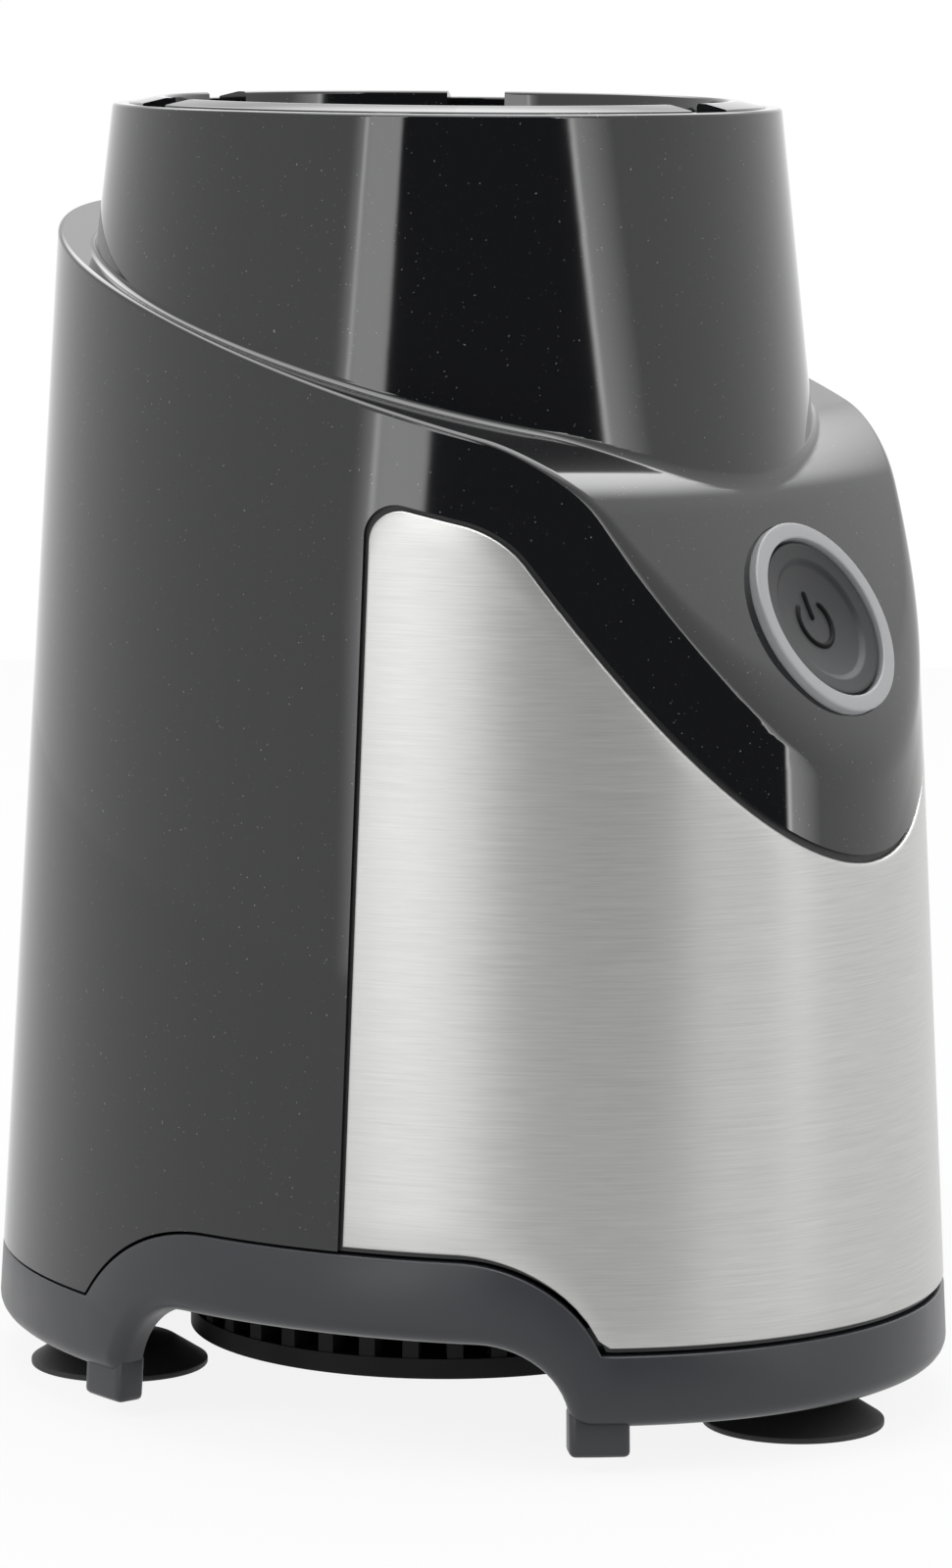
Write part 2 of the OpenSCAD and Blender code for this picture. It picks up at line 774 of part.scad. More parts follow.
module cup_well() color([0.08, 0.08, 0.085]) {
    difference() {
        union() {
            on_axis(bulkhead_top) cylinder(h = well_top - bulkhead_top, r = well_out_r);
            on_axis(well_top - well_flange_t)
                cylinder(h = well_flange_t - well_lip_slope, r = well_flange_r);
            on_axis(well_top - well_lip_slope)
                cylinder(h = well_lip_slope, r1 = well_flange_r, r2 = well_r + well_lip_w);
            at_well_ears() translate([0, 0, bulkhead_top]) {
                cylinder(h = well_ear_h, r = well_ear_r);
                translate([-well_ear_r - 1.5, -1, 0]) cube([well_ear_r + 1.5, 2, well_ear_h]);
            }
            translate([0, pin_y, pin_guide_z]) cylinder(h = pin_guide_t, r = pin_guide_r);
            translate([-1, pin_y - pin_guide_r - 1, pin_guide_z]) cube([2, pin_guide_r, pin_guide_t]);
        }
        on_axis(well_floor) cylinder(h = well_depth + 1, r = well_r - shoulder_w);
        on_axis(well_top - seat_depth) cylinder(h = seat_depth + 1, r = well_r);
        on_axis(bulkhead_top - 1) cylinder(h = well_floor_t + 2, r = seal_r + run_gap);
        for (a = slot_angles)
            on_axis(slot_floor) rotate([0, 0, a]) {
                translate([well_r - 3, -slot_w / 2, 0]) cube([12, slot_w, slot_depth + 1]);
                rotate([0, 0, slot_turn]) translate([well_r - 3, -slot_w / 2, 0])
                    cube([well_wall + 3.6, slot_w, slot_turn_h]);
            }
        at_well_ears() translate([0, 0, bulkhead_top - 1])
            cylinder(h = well_ear_h - 1, r = well_screw_r + run_gap);
        translate([0, pin_y, pin_guide_z - 1]) cylinder(h = pin_guide_t + 2, r = pin_r + run_gap);
    }
}

module well_screws() color([0.55, 0.55, 0.57]) {
    at_well_ears() translate([0, 0, bulkhead_z])
        screw(well_screw_r, bulkhead_t + well_ear_h - well_screw_short, small_head_r, small_head_h);
}

module shaft_seal() color([0.1, 0.1, 0.1]) {
    difference() {
        union() {
            on_axis(bulkhead_z) cylinder(h = well_floor - bulkhead_z + 1, r = seal_r);
            on_axis(well_floor) cylinder(h = seal_flange_t, r = seal_flange_r);
        }
        on_axis(bulkhead_z - 1) cylinder(h = big, r = shaft_d / 2 + run_gap);
    }
}

module drive_coupling() color([0.16, 0.16, 0.17]) {
    difference() {
        on_axis(coupling_z) {
            cylinder(h = coupling_plate_t, r = coupling_d / 2);
            cylinder(h = coupling_h, r = coupling_core_r);
            for (i = [0:coupling_teeth - 1])
                rotate([0, 0, i * 360 / coupling_teeth])
                    translate([coupling_core_r - 1, -tooth_w / 2, 0])
                        cube([coupling_d / 2 - coupling_core_r, tooth_w, coupling_h - tooth_drop]);
        }
        on_axis(coupling_z - 1) cylinder(h = shaft_top - coupling_z + 1, r = shaft_d / 2);
    }
}

// Motor

module motor_shaft() color([0.7, 0.7, 0.72]) {
    on_axis(shaft_low) cylinder(h = shaft_top - shaft_low, r = shaft_d / 2);
}

module bearing(z) {
    on_axis(z) ring(bearing_d / 2, shaft_d / 2 + run_gap, bearing_h);
}

module upper_bearing() color([0.78, 0.78, 0.8]) bearing(upper_bearing_z);

module lower_bearing() color([0.78, 0.78, 0.8]) bearing(lower_bearing_z);

module upper_bracket() color([0.62, 0.63, 0.65]) {
    difference() {
        union() {
            on_axis(bracket_low) translate([-stator_w / 2, -boss_y - 6, 0])
                cube([stator_w, 2 * boss_y + 12, bracket_t]);
            on_axis(upper_bearing_z) cylinder(h = bracket_top - upper_bearing_z, r = bearing_boss_r);
            on_axis(stack_top) mirrored([1, 0, 0])
                translate([bolt_x - leg_w / 2, -leg_d / 2, 0]) cube([leg_w, leg_d, leg_up + 1]);
        }
        on_axis(upper_bearing_z - 1) cylinder(h = bearing_h + 1, r = bearing_d / 2 + bearing_fit);
        on_axis(upper_bearing_z) cylinder(h = big, r = shaft_hole_r);
        on_axis(stack_top - 1) mirrored([1, 0, 0])
            translate([bolt_x, 0, 0]) cylinder(h = big, r = bolt_r + bolt_hole_gap);
        at_motor_bosses() translate([0, 0, bracket_low - 1])
            cylinder(h = bracket_t + 2, r = motor_screw_r + hole_gap);
    }
}

module lower_bracket() color([0.62, 0.63, 0.65]) {
    difference() {
        union() {
            on_axis(base_low) cylinder(h = bracket_t, r = base_r);
            on_axis(lower_bearing_z) cylinder(h = base_top - lower_bearing_z, r = bearing_boss_r);
            on_axis(base_low) mirrored([1, 0, 0])
                translate([bolt_x - leg_w / 2, -leg_d / 2, 0]) cube([leg_w, leg_d, stack_low - base_low]);
        }
        on_axis(lower_bearing_z - 1) cylinder(h = bearing_h + 1, r = bearing_d / 2 + bearing_fit);
        on_axis(lower_bearing_z) cylinder(h = big, r = shaft_hole_r);
        on_axis(base_low - 1) mirrored([1, 0, 0])
            translate([bolt_x, 0, 0]) cylinder(h = big, r = bolt_r + bolt_hole_gap);
        on_axis(base_low - 1) for (a = [45:90:315])
            rotate([0, 0, a]) translate([(bearing_boss_r + base_r) / 2, 0, 0])
                cylinder(h = bracket_t + 2, r = (base_r - bearing_boss_r) / 2 - 3);
    }
}

module stator_core() color([0.4, 0.4, 0.42]) {
    difference() {
        on_axis(stack_low) translate([-stator_w / 2, -stator_d / 2, 0]) cube([stator_w, stator_d, stack_h]);
        on_axis(stack_low - 1) cylinder(h = stack_h + 2, r = bore_r);
        on_axis(stack_low - 1) mirrored([1, 0, 0]) {
            translate([bolt_x, 0, 0]) cylinder(h = stack_h + 2, r = bolt_r + bolt_hole_gap);
            mirrored([0, 1, 0]) translate([pole_w / 2, coil_y - coil_gap, 0])
                cube([coil_t + 2 * coil_gap, coil_depth + 2 * coil_gap, stack_h + 2]);
        }
    }
}

module field_coils() color([0.62, 0.3, 0.14]) {
    on_axis() mirrored([0, 1, 0]) difference() {
        translate([-pole_w / 2 - coil_t - coil_gap, coil_y, stack_low - coil_over])
            cube([pole_w + 2 * coil_t + 2 * coil_gap, coil_depth, stack_h + 2 * coil_over]);
        translate([-pole_w / 2 - coil_gap, coil_y - 1, stack_low - coil_gap])
            cube([pole_w + 2 * coil_gap, coil_depth + 2, stack_h + 2 * coil_gap]);
    }
}

module armature_core() color([0.45, 0.45, 0.47]) {
    difference() {
        on_axis(stack_low) ring(armature_d / 2, shaft_d / 2, stack_h);
        for (i = [0:11])
            on_axis(stack_low - 1) rotate([0, 0, i * 30]) translate([armature_d / 2 - 5, -1, 0])
                cube([6, 2, stack_h + 2]);
    }
}

module armature_winding() color([0.66, 0.33, 0.15]) {
    on_axis(stack_top) ring(winding_r, shaft_d / 2, winding_up);
    on_axis(stack_low - winding_down) ring(winding_r, shaft_d / 2, winding_down);
}

module commutator() color([0.72, 0.42, 0.2]) {
    on_axis(commutator_z) ring(commutator_d / 2, shaft_d / 2, commutator_h);
}

module brush_holders() color([0.3, 0.22, 0.14]) {
    side = brush_s + 2 * brush_side_gap;
    on_axis() mirrored([0, 1, 0]) difference() {
        translate([-side / 2 - holder_t, holder_y, base_top])
            cube([side + 2 * holder_t, holder_l, brush_z + side / 2 + holder_t - base_top]);
        translate([-side / 2, holder_y - 1, brush_z - side / 2]) cube([side, holder_l - holder_end + 1, side]);
    }
}

module carbon_brushes() color([0.12, 0.12, 0.13]) {
    on_axis(brush_z - brush_s / 2) mirrored([0, 1, 0])
        translate([-brush_s / 2, brush_y, 0]) cube([brush_s, brush_len, brush_s]);
}

module brush_springs() color([0.7, 0.7, 0.72]) {
    on_axis(brush_z) mirrored([0, 1, 0]) translate([0, brush_y + brush_len + 0.1, 0]) rotate([-90, 0, 0])
        ring(brush_s / 2 - 0.5, brush_s / 2 - 1.3, brush_spring_l);
}

module cooling_fan() color([0.13, 0.13, 0.14]) {
    difference() {
        union() {
            on_axis(fan_low) cylinder(h = fan_h, r = fan_hub_r);
            on_axis(fan_top - fan_plate_t) cylinder(h = fan_plate_t, r = fan_d / 2);
            for (i = [0:fan_blades - 1])
                on_axis(fan_low) rotate([0, 0, i * 360 / fan_blades])
                    translate([fan_hub_r - 1, -blade_t / 2, 0])
                        cube([fan_d / 2 - fan_hub_r - 1, blade_t, fan_h - 0.5]);
        }
        on_axis(fan_low - 1) cylinder(h = fan_h + 2, r = shaft_d / 2);
    }
}

module air_duct() color([0.2, 0.2, 0.21]) {
    on_axis(floor_top) ring(duct_in_r + duct_t, duct_in_r, duct_top - floor_top);
}

module motor_bolts() color([0.55, 0.55, 0.57]) {
    on_axis() mirrored([1, 0, 0]) translate([bolt_x, 0, base_low]) {
        screw(bolt_r, bracket_top - base_low + bolt_head_h, bolt_head_r, bolt_head_h);
        translate([0, 0, bracket_top - base_low]) cylinder(h = bolt_head_h, r = bolt_head_r, $fn = 6);
    }
}

module motor_grommets() color([0.09, 0.09, 0.09]) {
    at_motor_bosses() translate([0, 0, bracket_top]) ring(grommet_r, motor_screw_r + hole_gap, grommet_h);
}

module motor_screws() color([0.55, 0.55, 0.57]) {
    at_motor_bosses() translate([0, 0, bracket_low])
        screw(motor_screw_r, bracket_t + grommet_h + motor_screw_len - 5, motor_screw_r + 1.7, 2.5);
}

// Power button

module button_ring() color([0.62, 0.63, 0.65]) {
    at_button() difference() {
        union() {
            translate([0, 0, -ring_collar]) cylinder(h = ring_collar + ring_proud, r = ring_r);
            translate([0, 0, carrier_top]) cylinder(h = -carrier_top, r = ring_tail_r);
        }
        translate([0, 0, carrier_top - 1]) cylinder(h = 20, r = ring_in_r);
    }
}

module power_button() color([0.15, 0.15, 0.16]) {
    at_button() difference() {
        union() {
            translate([0, 0, cap_top - cap_t]) cylinder(h = cap_t, r = button_r);
            translate([0, 0, stem_end]) cylinder(h = cap_top - cap_t - stem_end + 1, r = stem_r);
        }
        translate([0, 0, cap_top - dish_depth + dish_r]) sphere(dish_r);
    }
}

module button_spring() color([0.7, 0.7, 0.72]) {
    at_button() translate([0, 0, carrier_top + spring_gap])
        ring(
            button_spring_r + button_spring_t, button_spring_r,
            cap_top - cap_t - carrier_top - 2 * spring_gap
        );
}

module button_carrier() color([0.22, 0.22, 0.23]) {
    at_button() difference() {
        union() {
            translate([-carrier_w / 2, -carrier_h / 2, carrier_low]) cube([carrier_w, carrier_h, carrier_t]);
            translate([0, 0, guide_end]) cylinder(h = carrier_low - guide_end + 1, r = stem_r + guide_t);
            mirrored([1, 0, 0]) translate([arm_x, -switch_s / 2, switch_low - arm_t])
                cube([arm_t, switch_s, carrier_low - switch_low + arm_t + 1]);
            translate([-arm_x - arm_t, -switch_s / 2, switch_low - arm_t])
                cube([2 * (arm_x + arm_t), switch_s, arm_t]);
        }
        translate([0, 0, guide_end - 1]) cylinder(h = 20, r = stem_r + run_gap);
        mirrored([1, 0, 0]) translate([carrier_screw_x, 0, carrier_low - 1])
            cylinder(h = carrier_t + 2, r = carrier_screw_r + hole_gap);
    }
}

module carrier_screws() color([0.55, 0.55, 0.57]) {
    at_button() mirrored([1, 0, 0]) translate([carrier_screw_x, 0, carrier_low])
        screw(carrier_screw_r, carrier_t + carrier_screw_bite, small_head_r, small_head_h);
}

module power_switch() color([0.12, 0.12, 0.13]) {
    at_button() difference() {
        translate([-switch_s / 2, -switch_s / 2, switch_low]) cube([switch_s, switch_s, switch_h]);
        translate([0, 0, switch_top - button_travel - 2])
            cylinder(h = button_travel + 3, r = plunger_r + run_gap);
    }
}

module switch_plunger() color([0.85, 0.85, 0.83]) {
    at_button() translate([0, 0, switch_top - 1.5]) cylinder(h = plunger_top - switch_top + 1.5, r = plunger_r);
}

// Cup interlock

module interlock_pin() color([0.8, 0.2, 0.15]) {
    translate([0, pin_y, pin_low]) cylinder(h = pin_top - pin_low, r = pin_r);
    translate([0, pin_y, pin_flange_z]) cylinder(h = pin_flange_t, r = pin_flange_r);
}

module interlock_spring() color([0.7, 0.7, 0.72]) {
    translate([0, pin_y, bulkhead_top + spring_gap])
        ring(pin_spring_r + pin_spring_t, pin_spring_r, pin_flange_z - bulkhead_top - 2 * spring_gap);
}

module interlock_switch() color([0.12, 0.12, 0.13]) {
    difference() {
        union() {
            translate([micro_x, pin_y - micro_t / 2, micro_top - micro_h]) cube([micro_l, micro_t, micro_h]);
            translate([-lever_arm / 2, pin_y, micro_top - 1]) cylinder(h = 1 + micro_nub_h, r = 1);
            for (y = [-micro_t / 2, micro_t / 2 - micro_ear_t])
                translate([-lever_arm - 2, pin_y + y, micro_top - 1])
                    cube([4, micro_ear_t, pivot_z + 2 - micro_top + 1]);
        }
        translate([-lever_arm, pin_y - micro_t, pivot_z]) rotate([-90, 0, 0])
            cylinder(h = 2 * micro_t, r = lever_pivot_r + run_gap);
        for (x = micro_screw_x)
            translate([x, pin_y - micro_t, micro_top - micro_h / 2]) rotate([-90, 0, 0])
                cylinder(h = 2 * micro_t, r = micro_screw_r + run_gap);
    }
}

module interlock_lever() color([0.75, 0.72, 0.6]) {
    translate([-lever_arm, pin_y, pivot_z]) {
        rotate([-90, 0, 0]) translate([0, 0, -lever_pivot_l / 2])
            cylinder(h = lever_pivot_l, r = lever_pivot_r);
        rotate([0, -lever_tilt, 0]) translate([0, -lever_w / 2, -lever_t / 2])
            cube([lever_arm + lever_over, lever_w, lever_t]);
    }
}

module interlock_screws() color([0.55, 0.55, 0.57]) {
    for (x = micro_screw_x)
        translate([x, pin_y + micro_t / 2, micro_top - micro_h / 2]) rotate([90, 0, 0])
            screw(micro_screw_r, micro_t + tab_plate_t - 0.2, 2.2, 1.6);
}

// Electrics at the back of the floor

module control_board() color([0.1, 0.35, 0.2]) {
    difference() {
        translate([-board_l / 2, board_y - board_d / 2, board_z]) cube([board_l, board_d, board_t]);
        mirrored([1, 0, 0]) translate([board_screw_x, board_y, board_z - 1])
            cylinder(h = board_t + 2, r = board_screw_r + hole_gap);
    }
}

module filter_capacitor() color([0.75, 0.6, 0.15]) {
    translate([-cap_box[0] / 2, board_y - cap_box[1] / 2, board_z + board_t]) cube(cap_box);
}

module board_screws() color([0.55, 0.55, 0.57]) {
    mirrored([1, 0, 0]) translate([board_screw_x, board_y, board_z + board_t]) rotate([180, 0, 0])
        screw(board_screw_r, board_t + board_post_h, board_screw_head_r, board_screw_head_h);
}

module cord_gland() color([0.05, 0.05, 0.05]) {
    difference() {
        union() {
            translate([0, gland_in, cord_z]) rotate([-90, 0, 0])
                cylinder(h = gland_face - gland_in + 1, r = gland_r);
            translate([0, gland_face, cord_z]) rotate([-90, 0, 0])
                cylinder(h = gland_flange_t, r = gland_r + gland_flange);
        }
        translate([0, gland_in - 1, cord_z]) rotate([-90, 0, 0]) cylinder(h = gland_cut, r = cord_d / 2);
    }
}

main_housing();
motor_deck();
steel_panel();
base_skirt();
vent_drum();
suction_feet();
skirt_screws();
vent_screws();
cup_well();
well_screws();
shaft_seal();
drive_coupling();
motor_shaft();
upper_bearing();
lower_bearing();
upper_bracket();
lower_bracket();
stator_core();
field_coils();
armature_core();
armature_winding();
commutator();
brush_holders();
carbon_brushes();
brush_springs();
cooling_fan();
air_duct();
motor_bolts();
motor_grommets();
motor_screws();
button_ring();
power_button();
button_spring();
button_carrier();
carrier_screws();
power_switch();
switch_plunger();
interlock_pin();
interlock_spring();
interlock_switch();
interlock_lever();
interlock_screws();
control_board();
filter_capacitor();
board_screws();
cord_gland();
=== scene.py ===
import json
import math

import bpy
import bmesh
import numpy as np
from mathutils import Matrix, Vector
from mathutils.geometry import delaunay_2d_cdt

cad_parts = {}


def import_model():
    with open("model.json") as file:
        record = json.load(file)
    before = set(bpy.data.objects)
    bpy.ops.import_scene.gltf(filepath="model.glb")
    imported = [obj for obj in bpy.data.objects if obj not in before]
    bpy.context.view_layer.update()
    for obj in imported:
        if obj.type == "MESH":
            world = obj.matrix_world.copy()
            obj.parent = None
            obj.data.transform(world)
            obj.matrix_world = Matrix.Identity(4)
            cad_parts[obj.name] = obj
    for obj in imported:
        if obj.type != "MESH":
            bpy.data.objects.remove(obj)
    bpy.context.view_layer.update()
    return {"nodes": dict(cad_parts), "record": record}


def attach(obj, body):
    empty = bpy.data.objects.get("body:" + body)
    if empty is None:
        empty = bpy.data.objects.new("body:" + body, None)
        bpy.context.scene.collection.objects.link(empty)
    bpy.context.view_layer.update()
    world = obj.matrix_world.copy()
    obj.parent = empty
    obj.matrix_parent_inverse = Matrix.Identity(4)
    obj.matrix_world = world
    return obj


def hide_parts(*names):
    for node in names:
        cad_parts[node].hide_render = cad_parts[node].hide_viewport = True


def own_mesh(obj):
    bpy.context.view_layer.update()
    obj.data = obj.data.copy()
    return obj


# Studio scene of a blender base: smooth skins, materials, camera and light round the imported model.
# Lengths are in millimetres until a mesh is made, which turns them into metres.

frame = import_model()
MM = 0.001

# Sizes of the part
BODY_L = 152.0
BODY_W = 126.0
RATIO = BODY_W / BODY_L
BODY_H = 192.0
RIM_Z = 192.0
LIP_Z = 193.0
LEAN = math.tan(math.radians(3.4))
WALL = 2.5
GROUND_GAP = 7.0
SEAM_Z = 17.5
SEAM_GAP = 0.4
ARCH_RISE = 13.0
ARCH_TOP = 18.5
ARCH_FRONT = -52.0
ARCH_BACK = 19.5
ARCH_R = 12.0
SEAM_BACK_R = 31.0
SEAM_FRONT_R = 19.0
SEAM_FLAT_BACK = ARCH_BACK - 17.5
SEAM_FLAT_FRONT = ARCH_FRONT + 15.0
COLLAR_R = 50.0
COLLAR_LEAN = math.radians(6.5)
COLLAR_Y = 5.5
LEDGE_Z = 157.5
LEDGE_SLOPE = math.radians(16.0)
FACET_SLOPE = math.radians(61.0)
CROWN_R = 400.0
BUTTON_Y = -62.0
BUTTON_Z = 119.5
BUTTON_R = 12.2
RING_IN = 12.5
RING_OUT = 15.0
RING_PROUD = 1.2
RING_TAIL = 14.3
RING_STEP = -2.0
RING_END = -10.0
PANEL_EDGE = -21.0
PANEL_TOP = 138.0
PANEL_FRONT = 85.0
PANEL_SLOPE = math.radians(56.0)
PANEL_TILT = math.radians(13.0)
PANEL_BEND = 14.0
PANEL_CORNER = 4.5
PANEL_GAP = 0.6
PANEL_T = 0.7
FLOOR_Z = 18.5
FLOOR_TOP = 21.0
LIP_INSET = 2.8
SKIRT_T = 5.0
TAB_W = 9.0
TAB_LIFT = 2.5
TAB_INSET = 1.2
TAB_T = 4.5
FOOT_R = 13.5
FOOT_SIDES = 80
FEET = [(0.0, -59.5), (32.0, 42.5), (-32.0, 42.5)]

# Roundings that the plain solids leave out
EDGE_R = 0.8
LIP_R = 2.4
LIP_SPREAD = 30.0
LIP_START = -40.0
LIP_FADE = 15.0
INSIDE_R = 0.4
BEND_R = 6.7
COVE_R = 1.0
RIM_R = 0.5
RIM_IN_R = 0.4
COLLAR_ROOT = 8.0
BORE_END = 172.0
SKIRT_R = 2.6
SKIRT_CORNER_R = 3.0


# Distances to the surfaces of the housing

def half_l(z):
    return BODY_L / 2 - (z - SEAM_Z) * LEAN


def collar_r(z):
    return COLLAR_R + (BODY_H - z) * math.tan(COLLAR_LEAN)


def wall_gap(x, y, z):
    rho = np.sqrt((x / RATIO) ** 2 + y ** 2)
    steep = np.sqrt((x / RATIO ** 2) ** 2 + y ** 2) / rho
    return (rho - half_l(z)) / np.sqrt(steep ** 2 + LEAN ** 2)


def ledge_gap(y, z):
    return (z - LEDGE_Z - y * math.tan(LEDGE_SLOPE)) * math.cos(LEDGE_SLOPE)


def facet_gap(x, y, z):
    out = -(y - BUTTON_Y) * math.sin(FACET_SLOPE) + (z - BUTTON_Z) * math.cos(FACET_SLOPE)
    return np.hypot(x, out + CROWN_R) - CROWN_R


def collar_gap(x, y, z):
    return (np.hypot(x, y - COLLAR_Y) - collar_r(z)) * math.cos(COLLAR_LEAN)


def round_meet(a, b, r):
    bulge = np.sqrt(np.maximum(a + r, 0) ** 2 + np.maximum(b + r, 0) ** 2)
    return np.minimum(np.maximum(a, b), -r) + bulge


def round_join(a, b, r):
    bulge = np.sqrt(np.maximum(r - a, 0) ** 2 + np.maximum(r - b, 0) ** 2)
    return np.maximum(np.minimum(a, b), r) - bulge


def shell_form(x, y, z, inset, edge, cove):
    top = round_meet(ledge_gap(y, z) + inset, facet_gap(x, y, z) + inset, BEND_R)
    lip = LIP_R * np.exp(-(x / LIP_SPREAD) ** 2) * np.clip((LIP_START - y) / LIP_FADE, 0, 1)
    body = round_meet(wall_gap(x, y, z) + inset, top, edge + lip)
    collar = np.maximum(collar_gap(x, y, z) + inset, -ledge_gap(y, z) - COLLAR_ROOT)
    return round_join(body, collar, cove)


def shell_outside(x, y, z):
    form = shell_form(x, y, z, 0, EDGE_R, COVE_R)
    form = round_meet(form, z - RIM_Z, RIM_R)
    bore = np.minimum(-collar_gap(x, y, z) - WALL, z - BORE_END)
    return round_meet(form, bore, RIM_IN_R)


def shell_inside(x, y, z):
    return shell_form(x, y, z, WALL, INSIDE_R, INSIDE_R)


def slope_of(field, x, y, z, step=0.004):
    gx = field(x + step, y, z) - field(x - step, y, z)
    gy = field(x, y + step, z) - field(x, y - step, z)
    gz = field(x, y, z + step) - field(x, y, z - step)
    grad = np.stack([gx, gy, gz], -1)
    return grad / np.maximum(np.linalg.norm(grad, axis=-1, keepdims=True), 1e-12)


# Meshes

def make_mesh(name, verts, faces, mats, body="base", smooth=40.0, index=None):
    mesh = bpy.data.meshes.new(name)
    verts = np.asarray(verts, float) * MM
    mesh.from_pydata(verts.tolist(), [], [list(f) for f in faces])
    obj = bpy.data.objects.new(name, mesh)
    bpy.context.scene.collection.objects.link(obj)
    for m in mats:
        mesh.materials.append(m)
    if index is not None:
        mesh.polygons.foreach_set("material_index", np.asarray(index, np.int32))
    tidy_mesh(obj, smooth)
    if body:
        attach(obj, body)
    return obj


def tidy_mesh(obj, smooth):
    work = bmesh.new()
    work.from_mesh(obj.data)
    bmesh.ops.remove_doubles(work, verts=work.verts, dist=1e-7)
    bmesh.ops.recalc_face_normals(work, faces=work.faces)
    work.to_mesh(obj.data)
    work.free()
    obj.data.polygons.foreach_set("use_smooth", np.ones(len(obj.data.polygons), bool))
    obj.data.set_sharp_from_angle(angle=math.radians(smooth))


def grid_faces(rows, cols, wrap_rows=False, wrap_cols=False, start=0):
    faces = []
    for i in range(rows if wrap_rows else rows - 1):
        for j in range(cols if wrap_cols else cols - 1):
            a = start + i * cols + j
            b = start + i * cols + (j + 1) % cols
            c = start + ((i + 1) % rows) * cols + (j + 1) % cols
            d = start + ((i + 1) % rows) * cols + j
            faces.append((a, b, c, d))
    return faces


def apply_modifiers(obj):
    graph = bpy.context.evaluated_depsgraph_get()
    mesh = bpy.data.meshes.new_from_object(obj.evaluated_get(graph))
    obj.modifiers.clear()
    obj.data = mesh


def cut(obj, cutter):
    mod = obj.modifiers.new("cut", "BOOLEAN")
    mod.operation = "DIFFERENCE"
    mod.solver = "EXACT"
    mod.object = cutter
    apply_modifiers(obj)
    bpy.data.objects.remove(cutter)


def bevel(obj, width, segments=3, angle=35.0):
    mod = obj.modifiers.new("bevel", "BEVEL")
    mod.width = width * MM
    mod.segments = segments
    mod.limit_method = "ANGLE"
    mod.angle_limit = math.radians(angle)
    apply_modifiers(obj)


def round_path(points, radii, steps=5):
    # corners of an open path replaced by arcs
    out = [points[0]]
    for p, q, s, r in zip(points, points[1:], points[2:], radii):
        p, q, s = np.array(p, float), np.array(q, float), np.array(s, float)
        u, v = p - q, s - q
        if r <= 0:
            out.append(tuple(q))
            continue
        u, v = u / np.linalg.norm(u), v / np.linalg.norm(v)
        half = math.acos(max(-1.0, min(1.0, float(u @ v)))) / 2
        reach = r / math.tan(half)
        middle = q + (u + v) / np.linalg.norm(u + v) * (r / math.sin(half))
        a, b = q + u * reach - middle, q + v * reach - middle
        turn = math.atan2(a[0] * b[1] - a[1] * b[0], float(a @ b))
        for k in range(steps + 1):
            t = turn * k / steps
            out.append((middle[0] + a[0] * math.cos(t) - a[1] * math.sin(t),
                        middle[1] + a[0] * math.sin(t) + a[1] * math.cos(t)))
    out.append(points[-1])
    return out


def lathe_rings(profile, segments):
    turn = np.linspace(0, 2 * math.pi, segments, endpoint=False)
    return np.array([[(r * math.cos(t), r * math.sin(t), z) for t in turn] for r, z in profile])


def place(points, matrix):
    flat = np.asarray(points, float).reshape(-1, 3)
    m = np.array(matrix)
    return flat @ m[:3, :3].T + m[:3, 3]


def lathe(name, profile, mat, matrix=None, segments=96, body="base", closed=True):
    rings = lathe_rings(profile, segments)
    verts = place(rings, matrix or Matrix.Identity(4))
    faces = grid_faces(len(profile), segments, wrap_rows=closed, wrap_cols=True)
    return make_mesh(name, verts, faces, [mat], body)


def move(x, y, z):
    return Matrix.Translation((x, y, z))


AT_BUTTON = move(0, BUTTON_Y, BUTTON_Z) @ Matrix.Rotation(FACET_SLOPE, 4, "X")


# Materials

def new_material(name):
    mat = bpy.data.materials.new(name)
    mat.use_nodes = True
    tree = mat.node_tree
    tree.nodes.clear()
    out = tree.nodes.new("ShaderNodeOutputMaterial")
    shader = tree.nodes.new("ShaderNodeBsdfPrincipled")
    tree.links.new(shader.outputs["BSDF"], out.inputs["Surface"])
    return mat, tree, shader


def add(tree, kind, **sockets):
    node = tree.nodes.new(kind)
    for key, value in sockets.items():
        node.inputs[key].default_value = value
    return node


def noise(tree, vector, scale, detail=4.0):
    node = add(tree, "ShaderNodeTexNoise", Scale=scale, Detail=detail)
    tree.links.new(vector, node.inputs["Vector"])
    return node.outputs["Fac"]


def maths(tree, kind, *values):
    node = tree.nodes.new("ShaderNodeMath")
    node.operation = kind
    for i, v in enumerate(values):
        if isinstance(v, (int, float)):
            node.inputs[i].default_value = v
        else:
            tree.links.new(v, node.inputs[i])
    return node.outputs[0]


def ramp(tree, value, frm, to, low, high, kind="SMOOTHSTEP"):
    node = tree.nodes.new("ShaderNodeMapRange")
    node.interpolation_type = kind
    for i, v in zip(range(1, 5), (frm, to, low, high)):
        node.inputs[i].default_value = v
    tree.links.new(value, node.inputs[0])
    return node.outputs[0]


def soft_window(tree, value, low, high, soft):
    # one between two values, nought outside, with soft ends
    rising = ramp(tree, value, low - soft, low + soft, 0.0, 1.0)
    falling = ramp(tree, value, high - soft, high + soft, 1.0, 0.0)
    return maths(tree, "MULTIPLY", rising, falling)


def spread(tree, value, low, high, frm=0.3, to=0.7):
    return ramp(tree, value, frm, to, low, high, "LINEAR")


def blend_colour(tree, fac, dark, light):
    node = tree.nodes.new("ShaderNodeMix")
    node.data_type = "RGBA"
    node.inputs[6].default_value = (*dark, 1)
    node.inputs[7].default_value = (*light, 1)
    tree.links.new(fac, node.inputs[0])
    return node.outputs[2]


